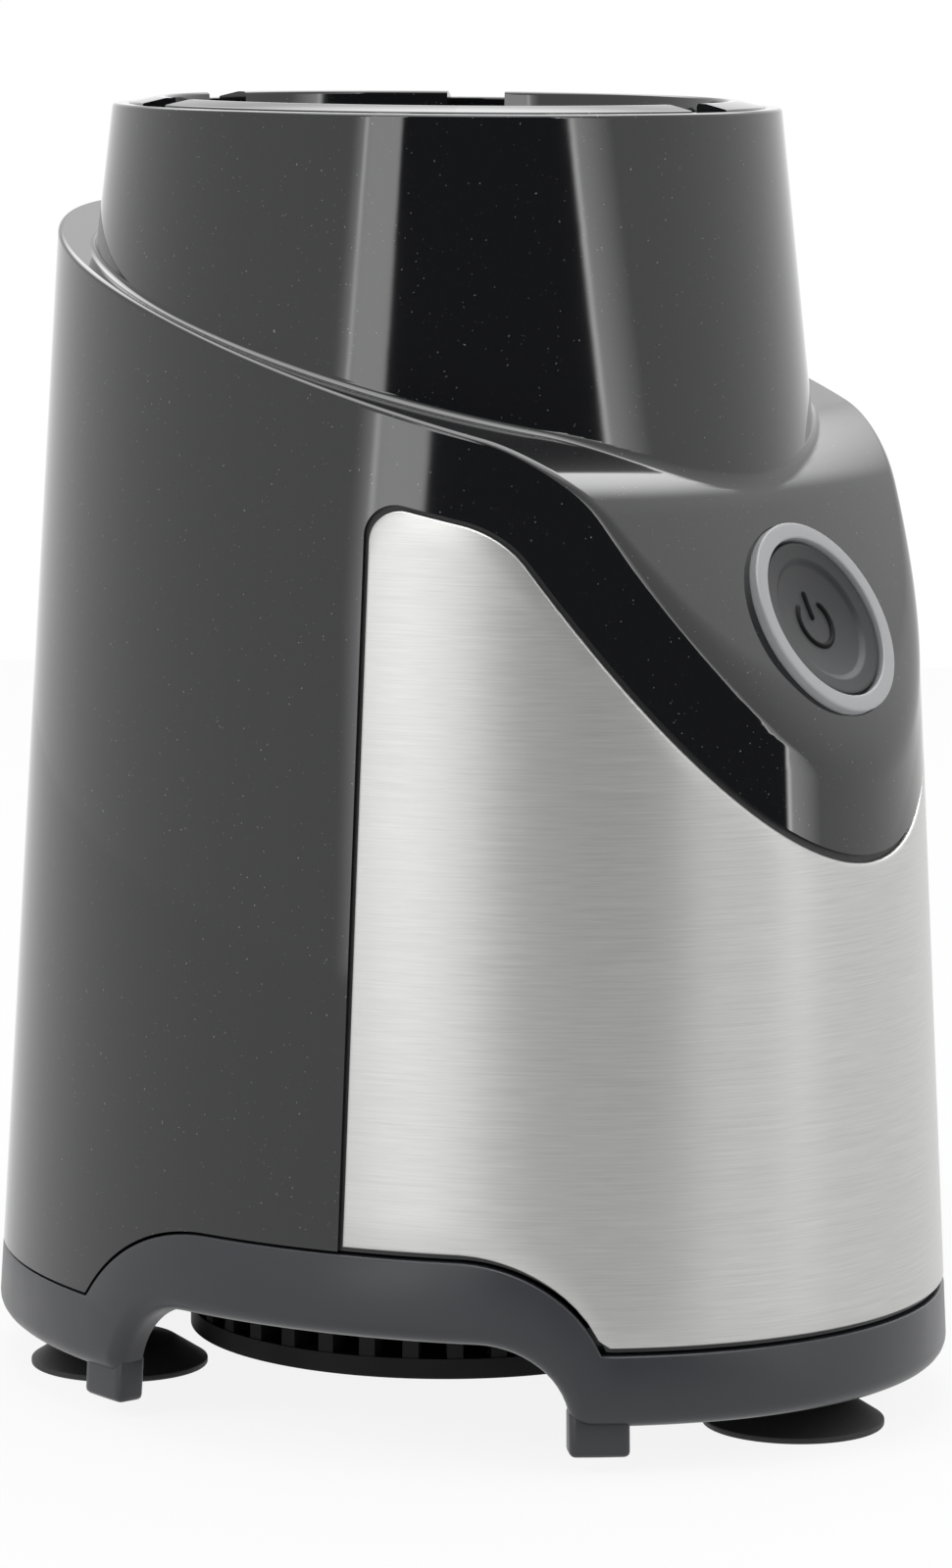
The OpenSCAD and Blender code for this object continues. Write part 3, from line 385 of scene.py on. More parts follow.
def bump(tree, shader, height, strength, depth):
    node = add(tree, "ShaderNodeBump", Strength=strength, Distance=depth)
    tree.links.new(height, node.inputs["Height"])
    tree.links.new(node.outputs["Normal"], shader.inputs["Normal"])


def object_coords(tree):
    return tree.nodes.new("ShaderNodeTexCoord").outputs["Object"]


MOTTLE_SCALE = 60.0
GRAIN_STRENGTH = 0.35


def moulded(name, colour, rough, grain=900.0, grain_depth=0.00003, vary=0.12, metallic=0.0, gloss=0.5):
    # plastic, rubber or metal with slow colour mottle, uneven gloss and fine surface grain
    mat, tree, shader = new_material(name)
    at = object_coords(tree)
    slow = noise(tree, at, MOTTLE_SCALE)
    fine = noise(tree, at, grain, 2.0)
    dark = [c * (1 - vary) for c in colour]
    light = [min(1.0, c * (1 + vary)) for c in colour]
    tree.links.new(blend_colour(tree, slow, dark, light), shader.inputs["Base Color"])
    tree.links.new(spread(tree, slow, rough * 0.85, min(1.0, rough * 1.15)), shader.inputs["Roughness"])
    shader.inputs["Metallic"].default_value = metallic
    shader.inputs["Specular IOR Level"].default_value = gloss
    bump(tree, shader, fine, GRAIN_STRENGTH, grain_depth)
    return mat


def gloss_black():
    # polished moulding with faint flow lines, uneven polish and a little dust
    mat, tree, shader = new_material("gloss_black")
    at = object_coords(tree)
    slow = noise(tree, at, 25.0)
    dust = noise(tree, at, 2600.0, 1.0)
    speck = spread(tree, dust, 0.0, 1.0, 0.755, 0.79)
    colour = blend_colour(tree, speck, (0.007, 0.0073, 0.0085), (0.2, 0.2, 0.2))
    tree.links.new(colour, shader.inputs["Base Color"])
    tree.links.new(spread(tree, slow, 0.03, 0.06), shader.inputs["Roughness"])
    shader.inputs["Specular IOR Level"].default_value = 0.6
    wave = noise(tree, at, 90.0, 2.0)
    bump(tree, shader, wave, 0.05, 0.0001)
    return mat


def brushed_steel():
    # sheet brushed round the body: long fine streaks that follow the wrap
    mat, tree, shader = new_material("brushed_sheet")
    at = object_coords(tree)
    parts = tree.nodes.new("ShaderNodeSeparateXYZ")
    tree.links.new(at, parts.inputs[0])
    ahead = maths(tree, "MULTIPLY", parts.outputs["Y"], -1.0)
    turn = maths(tree, "ARCTAN2", parts.outputs["X"], ahead)
    joined = tree.nodes.new("ShaderNodeCombineXYZ")
    tree.links.new(turn, joined.inputs["X"])
    tree.links.new(parts.outputs["Z"], joined.inputs["Z"])
    layers = []
    for along, across in ((4.0, 3600.0), (11.0, 7600.0)):
        scale = tree.nodes.new("ShaderNodeVectorMath")
        scale.operation = "MULTIPLY"
        scale.inputs[1].default_value = (along, 1.0, across)
        tree.links.new(joined.outputs[0], scale.inputs[0])
        layers.append(noise(tree, scale.outputs[0], 1.0, 3.0))
    streak = maths(tree, "MULTIPLY", maths(tree, "ADD", *layers), 0.5)
    tone = spread(tree, streak, 0.0, 1.0, 0.35, 0.65)
    colour = blend_colour(tree, tone, (0.43, 0.43, 0.42), (0.51, 0.51, 0.5))
    tree.links.new(colour, shader.inputs["Base Color"])
    tree.links.new(spread(tree, streak, 0.37, 0.41, 0.35, 0.65), shader.inputs["Roughness"])
    shader.inputs["Metallic"].default_value = 1.0
    shader.inputs["Anisotropic"].default_value = 0.7
    tangent = tree.nodes.new("ShaderNodeTangent")
    tangent.direction_type = "RADIAL"
    tangent.axis = "Z"
    tree.links.new(tangent.outputs[0], shader.inputs["Tangent"])
    shader.inputs["Anisotropic Rotation"].default_value = 0.25
    return mat


MATS = {
    "gloss_black": gloss_black(),
    "steel_sheet": brushed_steel(),
    "dark_grey": moulded("dark_grey", (0.022, 0.023, 0.028), 0.36, 1500.0, 0.00003),
    "black_plastic": moulded("black_plastic", (0.014, 0.014, 0.015), 0.4, 1200.0),
    "light_grey": moulded("light_grey", (0.33, 0.335, 0.345), 0.42, 1600.0, 0.00002, 0.05),
    "charcoal": moulded("charcoal", (0.011, 0.0115, 0.013), 0.48, 1800.0, 0.00004, gloss=0.35),
    "rubber": moulded("rubber", (0.01, 0.01, 0.01), 0.62, 1300.0, 0.00009),
    "hard_steel": moulded("hard_steel", (0.45, 0.45, 0.47), 0.3, 700.0, 0.00002, 0.1, 1.0),
    "aluminium": moulded("aluminium", (0.55, 0.56, 0.58), 0.42, 600.0, 0.00004, 0.08, 1.0),
    "laminations": moulded("laminations", (0.2, 0.2, 0.22), 0.5, 800.0, 0.00004, 0.15, 1.0),
    "copper": moulded("copper", (0.5, 0.2, 0.08), 0.35, 900.0, 0.00006, 0.18, 1.0),
    "carbon": moulded("carbon", (0.015, 0.015, 0.017), 0.7, 900.0, 0.00005),
    "phenolic": moulded("phenolic", (0.09, 0.05, 0.025), 0.5, 700.0),
    "board_green": moulded("board_green", (0.025, 0.13, 0.05), 0.4, 500.0),
    "yellow_case": moulded("yellow_case", (0.55, 0.36, 0.04), 0.3, 500.0),
    "signal_red": moulded("signal_red", (0.5, 0.035, 0.025), 0.4, 800.0),
}
INSIDE = moulded("inside_black", (0.012, 0.012, 0.013), 0.5, 900.0)
# near-black, dull symbol: painted shade standing in for the shadow inside an engraved groove
SYMBOL = moulded("symbol_painted_groove_shade", (0.003, 0.003, 0.003), 0.6, 900.0, gloss=0.1)
# the vent drum's black is darker than its own plastic: painted shade for the shadow under the arch
DRUM_PAINTED_SHADE = moulded("drum_painted_shade_black", (0.005, 0.005, 0.005), 0.6, 900.0, gloss=0.2)

for row in frame["record"]["subparts"]:
    node = frame["nodes"][row["node"]]
    node.data.materials.clear()
    # the vent drum takes the darker black, painted shade for the shadow under the arch
    node.data.materials.append(DRUM_PAINTED_SHADE if row["node"] == "vent_drum" else MATS[row["material_slot"]])


# Side view outlines

def seam_height(y, lift):
    y = np.asarray(y, float)
    crest = SEAM_Z + ARCH_RISE + lift
    back = crest - SEAM_BACK_R + np.sqrt(np.maximum(SEAM_BACK_R ** 2 - (y - SEAM_FLAT_BACK) ** 2, 0))
    front = crest - SEAM_FRONT_R + np.sqrt(np.maximum(SEAM_FRONT_R ** 2 - (y - SEAM_FLAT_FRONT) ** 2, 0))
    hump = np.where(y > SEAM_FLAT_BACK, back, np.where(y < SEAM_FLAT_FRONT, front, crest))
    return np.maximum(hump, SEAM_Z + lift)


def panel_height(y, grow):
    y = np.asarray(y, float)
    rise, fall = math.tan(PANEL_TILT), math.tan(PANEL_SLOPE)
    up = np.array([-math.sin(PANEL_TILT), math.cos(PANEL_TILT)])
    out = np.array([-math.sin(PANEL_SLOPE), math.cos(PANEL_SLOPE)])
    edge = PANEL_EDGE + grow
    top = PANEL_TOP + grow * rise + grow / math.cos(PANEL_TILT)
    base = np.array([-half_l(PANEL_FRONT), PANEL_FRONT]) + grow * out
    knee_y = (top - rise * edge - base[1] + fall * base[0]) / (fall - rise)
    knee = np.array([knee_y, top + rise * (knee_y - edge)])
    reach = PANEL_BEND * math.tan((PANEL_SLOPE - PANEL_TILT) / 2)
    bend = knee + reach * np.array([math.cos(PANEL_TILT), math.sin(PANEL_TILT)]) - PANEL_BEND * up
    corner_z = top - PANEL_CORNER * rise - PANEL_CORNER / math.cos(PANEL_TILT)
    corner = np.array([edge - PANEL_CORNER, corner_z])
    falling = base[1] + (y - base[0]) * fall
    tilted = top + (y - edge) * rise
    arc = bend[1] + np.sqrt(np.maximum(PANEL_BEND ** 2 - (y - bend[0]) ** 2, 0))
    turn = corner[1] + np.sqrt(np.maximum(PANEL_CORNER ** 2 - (y - corner[0]) ** 2, 0))
    z = np.where(y < bend[0] + PANEL_BEND * out[0], falling, arc)
    z = np.where(y > bend[0] + PANEL_BEND * up[0], tilted, z)
    return np.where(y > corner[0] + PANEL_CORNER * up[0], turn, z)


def on_body(turn, z, inset):
    # turn is measured from the front
    a = half_l(z) - inset
    b = half_l(z) * RATIO - inset
    return np.stack([b * np.sin(turn), -a * np.cos(turn), z], -1)


def body_normal(points):
    x, y, z = points[..., 0], points[..., 1], points[..., 2]
    return slope_of(wall_gap, x, y, z)


# Housing

WALK_START_R = 68.0
SHELL_TURNS = 288
SHELL_LOW = 9.0
SHELL_STOP = 186.0
OUTSIDE_STEPS = 900
OUTSIDE_ROWS = 130
INSIDE_STEPS = 800
INSIDE_ROWS = 60
SEAM_CUT_REACH = 120.0
SEAM_CUT_LOW = -60.0
PANEL_COLS = 70
PANEL_ROWS = 25
PANEL_START_Z = 80.0
PANEL_ROUNDS = 40
RECESS_T = PANEL_T + 0.1
RECESS_LOW = 5.0
RECESS_PROUD = 4.0
ROD_SIDES = 128
BUTTON_HOLE_R = RING_OUT + 0.15
GLAND_Y = 60.0
GLAND_Z = 42.0
GLAND_HOLE_R = 5.75


def follow(field, angles, z0, finished, steps, step=0.35):
    # walk up the section of a form at every angle round the cup axis
    c, s = np.cos(angles), np.sin(angles)

    def value(r, z):
        return field(r * c, COLLAR_Y + r * s, z)

    def slope(r, z, e=0.004):
        return (value(r + e, z) - value(r - e, z)) / (2 * e), (value(r, z + e) - value(r, z - e)) / (2 * e)

    r = np.full(len(angles), WALK_START_R)
    z = np.full(len(angles), z0)
    for _ in range(14):
        r = r - value(r, z) / slope(r, z)[0]
    path = [np.stack([r, z], -1)]
    topped = np.zeros(len(angles), bool)
    done = np.zeros(len(angles), bool)
    for _ in range(steps):
        gr, gz = slope(r, z)
        size = np.hypot(gr, gz)
        r1, z1 = r - gz / size * step, z + gr / size * step
        for _ in range(2):
            gr, gz = slope(r1, z1)
            gap = value(r1, z1) / (gr ** 2 + gz ** 2)
            r1, z1 = r1 - gap * gr, z1 - gap * gz
        topped |= z1 > RIM_Z - 0.5
        done |= finished(z1, topped)
        r, z = np.where(done, r, r1), np.where(done, z, z1)
        path.append(np.stack([r, z], -1))
        if done.all():
            break
    return np.array(path).transpose(1, 0, 2)


def thin_out(paths, count, length=9.0, bend=0.12):
    # fewer points, gathered where the path turns
    out = []
    for path in paths:
        d = np.diff(path, axis=0)
        size = np.hypot(d[:, 0], d[:, 1])
        keep = size > 1e-6
        d, size = d[keep], size[keep]
        path = np.concatenate([path[:1], path[1:][keep]])
        heading = np.unwrap(np.arctan2(d[:, 1], d[:, 0]))
        turn = np.abs(np.diff(heading, prepend=heading[0]))
        soft = np.convolve(turn, np.ones(5) / 5, "same")
        weight = np.concatenate([[0], np.cumsum(size / length + soft / bend)])
        at = np.linspace(0, weight[-1], count)
        out.append(np.stack([np.interp(at, weight, path[:, 0]), np.interp(at, weight, path[:, 1])], -1))
    return np.array(out)


def cutter_mesh(name, verts, faces):
    # the faces that it cuts take the inside's material
    return make_mesh(name, verts, faces, [MATS["gloss_black"], INSIDE], None, index=[1] * len(faces))


def side_prism(name, outline, half=90.0):
    # a side view outline drawn across the whole width
    count = len(outline)
    verts = [(x, y, z) for x in (-half, half) for y, z in outline]
    faces = [tuple(range(count)), tuple(range(2 * count - 1, count - 1, -1))]
    faces += ring_faces(0, count, count)
    return cutter_mesh(name, verts, faces)


def panel_loop(grow, inset, low=None):
    # border of the panel, and a grid of it, as turns and heights
    part = 1 - np.cos(np.linspace(0, math.pi / 2, PANEL_COLS))
    share = np.concatenate([-1 + part, (1 - part)[::-1][1:]])
    edge = PANEL_EDGE + grow

    def reach(z):
        return np.arccos(np.clip(-edge / half_l(z), -1, 1))

    def settle(rule):
        z = np.full(len(share), PANEL_START_Z)
        for _ in range(PANEL_ROUNDS):
            z = rule(-half_l(z) * np.cos(share * reach(z)))
        return z

    high = settle(lambda y: panel_height(np.minimum(y, edge), grow))
    if low is None:
        base = settle(lambda y: seam_height(y, SEAM_GAP + PANEL_GAP - grow))
    else:
        base = np.full(len(share), low)
    rows = np.linspace(0, 1, PANEL_ROWS)
    z = base[None, :] + (high - base)[None, :] * rows[:, None]
    grid = on_body(share[None, :] * reach(z), z, inset)
    ring = np.concatenate([grid[0], grid[1:, -1], grid[-1, -2::-1], grid[-2:0:-1, 0]])
    return grid, ring


def ring_faces(first, second, count):
    pairs = [(i, (i + 1) % count) for i in range(count)]
    return [(first + i, first + j, second + j, second + i) for i, j in pairs]


def panel_cutter():
    inner, ring_in = panel_loop(PANEL_GAP, RECESS_T, RECESS_LOW)
    outer, ring_out = panel_loop(PANEL_GAP, -RECESS_PROUD, RECESS_LOW)
    rows, cols = inner.shape[:2]
    verts = np.concatenate([inner.reshape(-1, 3), outer.reshape(-1, 3), ring_in, ring_out])
    size = rows * cols
    faces = grid_faces(rows, cols) + grid_faces(rows, cols, start=size)
    faces += ring_faces(2 * size, 2 * size + len(ring_in), len(ring_in))
    return cutter_mesh("panel_cutter", verts, faces)


def rod_cutter(matrix, radius, z0, z1):
    verts = place(lathe_rings([(radius, z0), (radius, z1)], ROD_SIDES), matrix)
    faces = grid_faces(2, ROD_SIDES, wrap_cols=True)
    faces += [tuple(range(ROD_SIDES)), tuple(range(2 * ROD_SIDES - 1, ROD_SIDES - 1, -1))]
    return cutter_mesh("rod_cutter", verts, faces)


def housing_shell():
    angles = np.linspace(-math.pi, math.pi, SHELL_TURNS, endpoint=False)
    outside = follow(shell_outside, angles, SHELL_LOW, lambda z, top: top & (z < SHELL_STOP), OUTSIDE_STEPS)
    outside = thin_out(outside, OUTSIDE_ROWS)
    inside = follow(shell_inside, angles, SHELL_LOW, lambda z, top: z > SHELL_STOP, INSIDE_STEPS)
    inside = thin_out(inside, INSIDE_ROWS)
    loop = np.concatenate([outside, inside[:, ::-1]], axis=1)
    x = loop[..., 0] * np.cos(angles)[:, None]
    y = COLLAR_Y + loop[..., 0] * np.sin(angles)[:, None]
    verts = np.stack([x, y, loop[..., 1]], -1)
    cols = loop.shape[1]
    faces = grid_faces(SHELL_TURNS, cols, wrap_rows=True, wrap_cols=True)
    index = [0 if (i % cols) < outside.shape[1] - 1 else 1 for i in range(len(faces))]
    mats = [MATS["gloss_black"], INSIDE]
    shell = make_mesh("housing_shell", verts.reshape(-1, 3), faces, mats, index=index)
    # points close together over the arch and far apart on the level seam
    front, back = np.linspace(-SEAM_CUT_REACH, -60, 4), np.linspace(40, SEAM_CUT_REACH, 4)
    ys = np.concatenate([front, np.linspace(-59, 34, 140), back])
    outline = [(y, float(seam_height(y, SEAM_GAP))) for y in ys]
    outline += [(SEAM_CUT_REACH, SEAM_CUT_LOW), (-SEAM_CUT_REACH, SEAM_CUT_LOW)]
    cut(shell, side_prism("seam_cutter", outline))
    cut(shell, panel_cutter())
    cut(shell, rod_cutter(AT_BUTTON, BUTTON_HOLE_R, -14, 12))
    at_gland = move(0, GLAND_Y, GLAND_Z) @ Matrix.Rotation(-math.pi / 2, 4, "X")
    cut(shell, rod_cutter(at_gland, GLAND_HOLE_R, 0, 40))
    skin_normals(shell)
    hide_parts("main_housing")
    return shell


def skin_normals(obj):
    # exact normals on the polished skin, plain ones on the cut faces
    mesh = obj.data
    co = np.empty(len(mesh.vertices) * 3)
    mesh.vertices.foreach_get("co", co)
    co = co.reshape(-1, 3) / MM
    normals = slope_of(shell_outside, co[:, 0], co[:, 1], co[:, 2])
    corner = np.empty(len(mesh.loops), np.int32)
    mesh.loops.foreach_get("vertex_index", corner)
    kind = np.empty(len(mesh.polygons), np.int32)
    mesh.polygons.foreach_get("material_index", kind)
    size = np.empty(len(mesh.polygons), np.int32)
    mesh.polygons.foreach_get("loop_total", size)
    face = np.empty(len(mesh.polygons) * 3)
    mesh.polygons.foreach_get("normal", face)
    skin = np.repeat(kind == 0, size)
    flat = np.repeat(face.reshape(-1, 3), size, axis=0)
    mesh.polygons.foreach_set("use_smooth", np.ones(len(mesh.polygons), bool))
    mesh.normals_split_custom_set(np.where(skin[:, None], normals[corner], flat).tolist())


housing_shell()


# Cup liner

WELL_R = 42.0
WELL_OUT = 44.0
SHOULDER_R = 41.0
FLANGE_R = 47.2
FLANGE_LOW = 190.5
LIP_LOW = 192.2
LIP_R_IN = 43.5
SHOULDER_Z = 170.0
WELL_FLOOR = 152.0
WELL_BASE = 149.5
SEAL_HOLE = 8.95
SLOT_FLOOR = 170.5
SLOT_W = 9.0
SLOT_TURN = 11.0
SLOT_ANGLES = (30.0, 90.0, 150.0, 270.0)
SLOT_IN = 39.0
SLOT_OUT = 51.0
LOCK_OUT = 44.6
LOCK_H = 6.0
EAR_ANGLES = (30.0, 150.0, 270.0)
EAR_RING = 47.6
# Inner and outer radius, lower and upper end
EAR_SIZES = (1.35, 2.8, WELL_BASE, 159.0)
GUIDE_SIZES = (1.65, 3.0, 162.5, 166.5)
PIN_Y = 52.304


def block_cutter(matrix, lo, hi):
    base = [(lo[0], lo[1]), (hi[0], lo[1]), (hi[0], hi[1]), (lo[0], hi[1])]
    corners = [(x, y, z) for z in (lo[2], hi[2]) for x, y in base]
    faces = [(3, 2, 1, 0), (4, 5, 6, 7)] + ring_faces(0, 4, 4)
    return make_mesh("block_cutter", place(corners, matrix), faces, [MATS["gloss_black"]], None)


def cup_liner():
    path = [(SEAL_HOLE, WELL_BASE), (WELL_OUT, WELL_BASE), (WELL_OUT, FLANGE_LOW), (FLANGE_R, FLANGE_LOW),
            (FLANGE_R, LIP_LOW), (LIP_R_IN, LIP_Z), (WELL_R, LIP_Z), (WELL_R, SHOULDER_Z),
            (SHOULDER_R, SHOULDER_Z), (SHOULDER_R, WELL_FLOOR), (SEAL_HOLE, WELL_FLOOR)]
    profile = round_path(path, [0.4, 0.4, 0.3, 0.3, 0.8, 0.5, 0.3, 0.3, 0.8], 6)
    axis = move(0, COLLAR_Y, 0)
    liner = lathe("cup_liner", profile, MATS["gloss_black"], axis, 192)
    for angle in SLOT_ANGLES:
        straight = axis @ Matrix.Rotation(math.radians(angle), 4, "Z")
        turned = axis @ Matrix.Rotation(math.radians(angle + SLOT_TURN), 4, "Z")
        low = (SLOT_IN, -SLOT_W / 2, SLOT_FLOOR)
        cut(liner, block_cutter(straight, low, (SLOT_OUT, SLOT_W / 2, LIP_Z + 1)))
        cut(liner, block_cutter(turned, low, (LOCK_OUT, SLOT_W / 2, SLOT_FLOOR + LOCK_H)))
    tidy_mesh(liner, 35.0)
    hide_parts("cup_well")
    turns = [Matrix.Rotation(math.radians(a), 4, "Z") for a in EAR_ANGLES]
    spots = [axis @ turn @ move(EAR_RING, 0, 0) for turn in turns]
    lugs = [("well_ear_%d" % i, spot, *EAR_SIZES) for i, spot in enumerate(spots)]
    lugs.append(("pin_guide", move(0, PIN_Y, 0), *GUIDE_SIZES))
    for name, spot, inner, outer, low, high in lugs:
        tube = round_path([(inner, low), (outer, low), (outer, high), (inner, high)], [0.2, 0.4], 4)
        lathe(name, tube, MATS["black_plastic"], spot, 48)


cup_liner()


# Steel wrap

def steel_wrap():
    # a sheet with its outer edge rolled over by a small radius
    edge = 0.4
    grid, ring = panel_loop(-edge, 0.0)
    rows, cols = grid.shape[:2]
    verts = [grid.reshape(-1, 3), ring]
    faces = grid_faces(rows, cols)
    start = rows * cols
    steps = [math.radians(a) for a in (22.5, 45, 67.5, 90)]
    rings = [(-edge + edge * math.sin(a), edge * (1 - math.cos(a))) for a in steps] + [(0.0, PANEL_T)]
    for grow, inset in rings:
        verts.append(panel_loop(grow, inset)[1])
        faces += ring_faces(start, start + len(ring), len(ring))
        start += len(ring)
    back, _ = panel_loop(0.0, PANEL_T)
    faces += grid_faces(rows, cols, start=start + len(ring))
    verts.append(back.reshape(-1, 3))
    wrap = make_mesh("steel_wrap", np.concatenate(verts), faces, [MATS["steel_sheet"]], smooth=60.0)
    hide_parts("steel_panel")


steel_wrap()


# Skirt

UNROLL_R = 68.0
FLOOR_TURNS = 160
FLOOR_HOLE_R = 26.6
BOSS_IN = 3.6
BOSS_OUT = 8.0
BOSS_LOW = 8.0
TAB_TURN_R = 70.0


def arc_points(middle, r, a0, a1, count):
    return [(middle[0] + r * math.cos(a), middle[1] + r * math.sin(a)) for a in np.linspace(a0, a1, count)]


def skirt_low_line():
    # lower edge of the right half from front to back, with the arch
    arch_z = ARCH_TOP - ARCH_R
    fillet_z = GROUND_GAP + SKIRT_CORNER_R
    apart = ARCH_R + SKIRT_CORNER_R
    away = math.sqrt(apart ** 2 - (fillet_z - arch_z) ** 2)
    tip = math.atan2(fillet_z - arch_z, away)
    front, back = ARCH_FRONT + ARCH_R, ARCH_BACK - ARCH_R
    low = half_l(GROUND_GAP)
    stop_front = math.acos((away - front) / low)
    stop_back = math.acos(-(back + away) / low)
    line = [(-low * math.cos(t), GROUND_GAP) for t in np.linspace(0, stop_front, 30)]
    line += arc_points((front - away, fillet_z), SKIRT_CORNER_R, -math.pi / 2, -tip, 8)[1:]
    line += arc_points((front, arch_z), ARCH_R, math.pi - tip, math.pi / 2, 14)[1:]
    line += [(y, ARCH_TOP) for y in np.linspace(front, back, 22)[1:]]
    line += arc_points((back, arch_z), ARCH_R, math.pi / 2, tip, 14)[1:]
    line += arc_points((back + away, fillet_z), SKIRT_CORNER_R, math.pi + tip, 1.5 * math.pi, 8)[1:]
    line += [(-low * math.cos(t), GROUND_GAP) for t in np.linspace(stop_back, math.pi, 30)[1:]]
    return line


def seam_line():
    low = half_l(SEAM_Z)
    reach = math.sqrt(SEAM_FRONT_R ** 2 - (SEAM_FRONT_R - ARCH_RISE) ** 2)
    front = SEAM_FLAT_FRONT - reach
    reach = math.sqrt(SEAM_BACK_R ** 2 - (SEAM_BACK_R - ARCH_RISE) ** 2)
    back = SEAM_FLAT_BACK + reach
    ys = [-low * math.cos(t) for t in np.linspace(0, math.acos(-front / low), 26)]
    ys += list(np.linspace(front, back, 90)[1:])
    ys += [-low * math.cos(t) for t in np.linspace(math.acos(-back / low), math.pi, 26)[1:]]
    return [(y, float(seam_height(y, 0.0))) for y in ys]


def round_body(line):
    # both halves of a side view line laid on the wall, once round from back to back
    y, z = np.array(line).T
    turn = np.arccos(np.clip(-y / half_l(z), -1, 1))
    turn = np.concatenate([-turn[::-1], turn[1:]])
    z = np.concatenate([z[::-1], z[1:]])
    return on_body(turn, z, 0.0)


def border_frame(points, down):
    # outward direction along the wall, and the wall's own normal
    closed = np.concatenate([points[-2:-1], points, points[1:2]])
    along = closed[2:] - closed[:-2]
    along /= np.linalg.norm(along, axis=1, keepdims=True)
    normal = body_normal(points)
    out = np.cross(along, normal)
    if (out[0, 2] < 0) != down:
        out = -out
    return out, normal


def rolled_rings(points, down, r, steps, depth):
    out, normal = border_frame(points, down)
    rings = []
    for a in np.linspace(0, math.pi / 2, steps):
        rings.append(points - r * (1 - math.sin(a)) * out - r * (1 - math.cos(a)) * normal)
    rings.append(points - depth * normal)
    return rings


def turn_of(points):
    turn = np.arctan2(points[:, 0] / RATIO, -points[:, 1])
    turn[0], turn[-1] = -math.pi, math.pi
    return turn


def skirt_skin():
    low_points = round_body(skirt_low_line())
    top_points = round_body(seam_line())
    low_rings = rolled_rings(low_points, True, SKIRT_R, 7, SKIRT_T)
    top_rings = rolled_rings(top_points, False, 0.4, 4, WALL)
    inner = low_rings[-1].copy()
    inner[:, 2] = FLOOR_Z + 0.5
    low_rings.append(inner)
    verts, faces, start = [], [], 0
    for rings in (low_rings, top_rings):
        count = len(rings[0])
        for k, ring in enumerate(rings):
            verts.append(ring)
            if k:
                faces += grid_faces(2, count, start=start - count)
            start += count
    border_low, border_top = low_rings[0], top_rings[0]
    flat = [(t * UNROLL_R, p[2]) for t, p in zip(turn_of(border_low), border_low)]
    flat += [(t * UNROLL_R, p[2]) for t, p in zip(turn_of(border_top)[::-1], border_top[::-1])]
    ring = np.concatenate([border_low, border_top[::-1]])
    count = len(flat)
    edges = [(i, (i + 1) % count) for i in range(count)]
    found = delaunay_2d_cdt([Vector(p) for p in flat], edges, [], 1, 1e-5)
    where = []
    for point, source in zip(found[0], found[3]):
        if source:
            where.append(ring[source[0]])
        else:
            where.append(on_body(np.array(point[0] / UNROLL_R), np.array(point[1]), 0.0))
    verts.append(np.array(where))
    faces += [tuple(start + i for i in f) for f in found[2]]
    skin = make_mesh("skirt_skin", np.concatenate(verts), faces, [MATS["dark_grey"]], smooth=50.0)
    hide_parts("base_skirt")


def plate_ring(name, outer, inner, z0, z1, mat):
    rings = [(outer, z0), (outer, z1), (inner, z1), (inner, z0)]
    verts = np.concatenate([np.column_stack([ring, np.full(len(ring), z)]) for ring, z in rings])
    faces = grid_faces(4, len(outer), wrap_rows=True, wrap_cols=True)
    return make_mesh(name, verts, faces, [mat])


def skirt_floor():
    turn = np.linspace(0, 2 * math.pi, FLOOR_TURNS, endpoint=False)
    outer = on_body(turn, np.full(FLOOR_TURNS, FLOOR_Z), LIP_INSET)[:, :2]
    inner = np.column_stack([FLOOR_HOLE_R * np.sin(turn), COLLAR_Y - FLOOR_HOLE_R * np.cos(turn)])
    plate = plate_ring("skirt_floor", outer, inner, FLOOR_Z, FLOOR_TOP, MATS["dark_grey"])
    high = FLOOR_Z + 0.5
    path = [(BOSS_IN, high), (BOSS_IN, BOSS_LOW), (BOSS_OUT, BOSS_LOW), (BOSS_OUT, high)]
    profile = round_path(path, [0.4, 0.8])
    for i, (x, y) in enumerate(FEET):
        boss = lathe("foot_boss_%d" % i, profile, MATS["dark_grey"], move(x, y, 0), 64)


def skirt_tab(name, turns):
    cols = 7
    turn = np.linspace(turns[0], turns[1], cols)
    verts = []
    for z in (TAB_LIFT, GROUND_GAP + 2.5):
        for inset in (TAB_INSET, TAB_INSET + TAB_T):
            verts.append(on_body(turn, np.full(cols, z), inset))
    order = [0, 1, 3, 2]
    verts = np.concatenate([verts[i] for i in order])
    faces = grid_faces(4, cols, wrap_rows=True)
    faces += [tuple(k * cols for k in range(4)), tuple(k * cols + cols - 1 for k in range(3, -1, -1))]
    tab = make_mesh(name, verts, faces, [MATS["dark_grey"]], smooth=30.0)
    bevel(tab, 0.9)
    tidy_mesh(tab, 30.0)


def skirt_tabs():
    low = half_l(GROUND_GAP)
    back = math.acos(-ARCH_BACK / low)
    back_end = math.acos(-(ARCH_BACK + TAB_W) / low)
    front = math.acos(-ARCH_FRONT / low)
    front_end = front - TAB_W / TAB_TURN_R
    for side in (-1, 1):
        hand = "left" if side < 0 else "right"
        skirt_tab("tab_back_" + hand, (side * back, side * back_end))
        skirt_tab("tab_front_" + hand, (side * front, side * front_end))


skirt_skin()
skirt_floor()
skirt_tabs()


# Suction feet

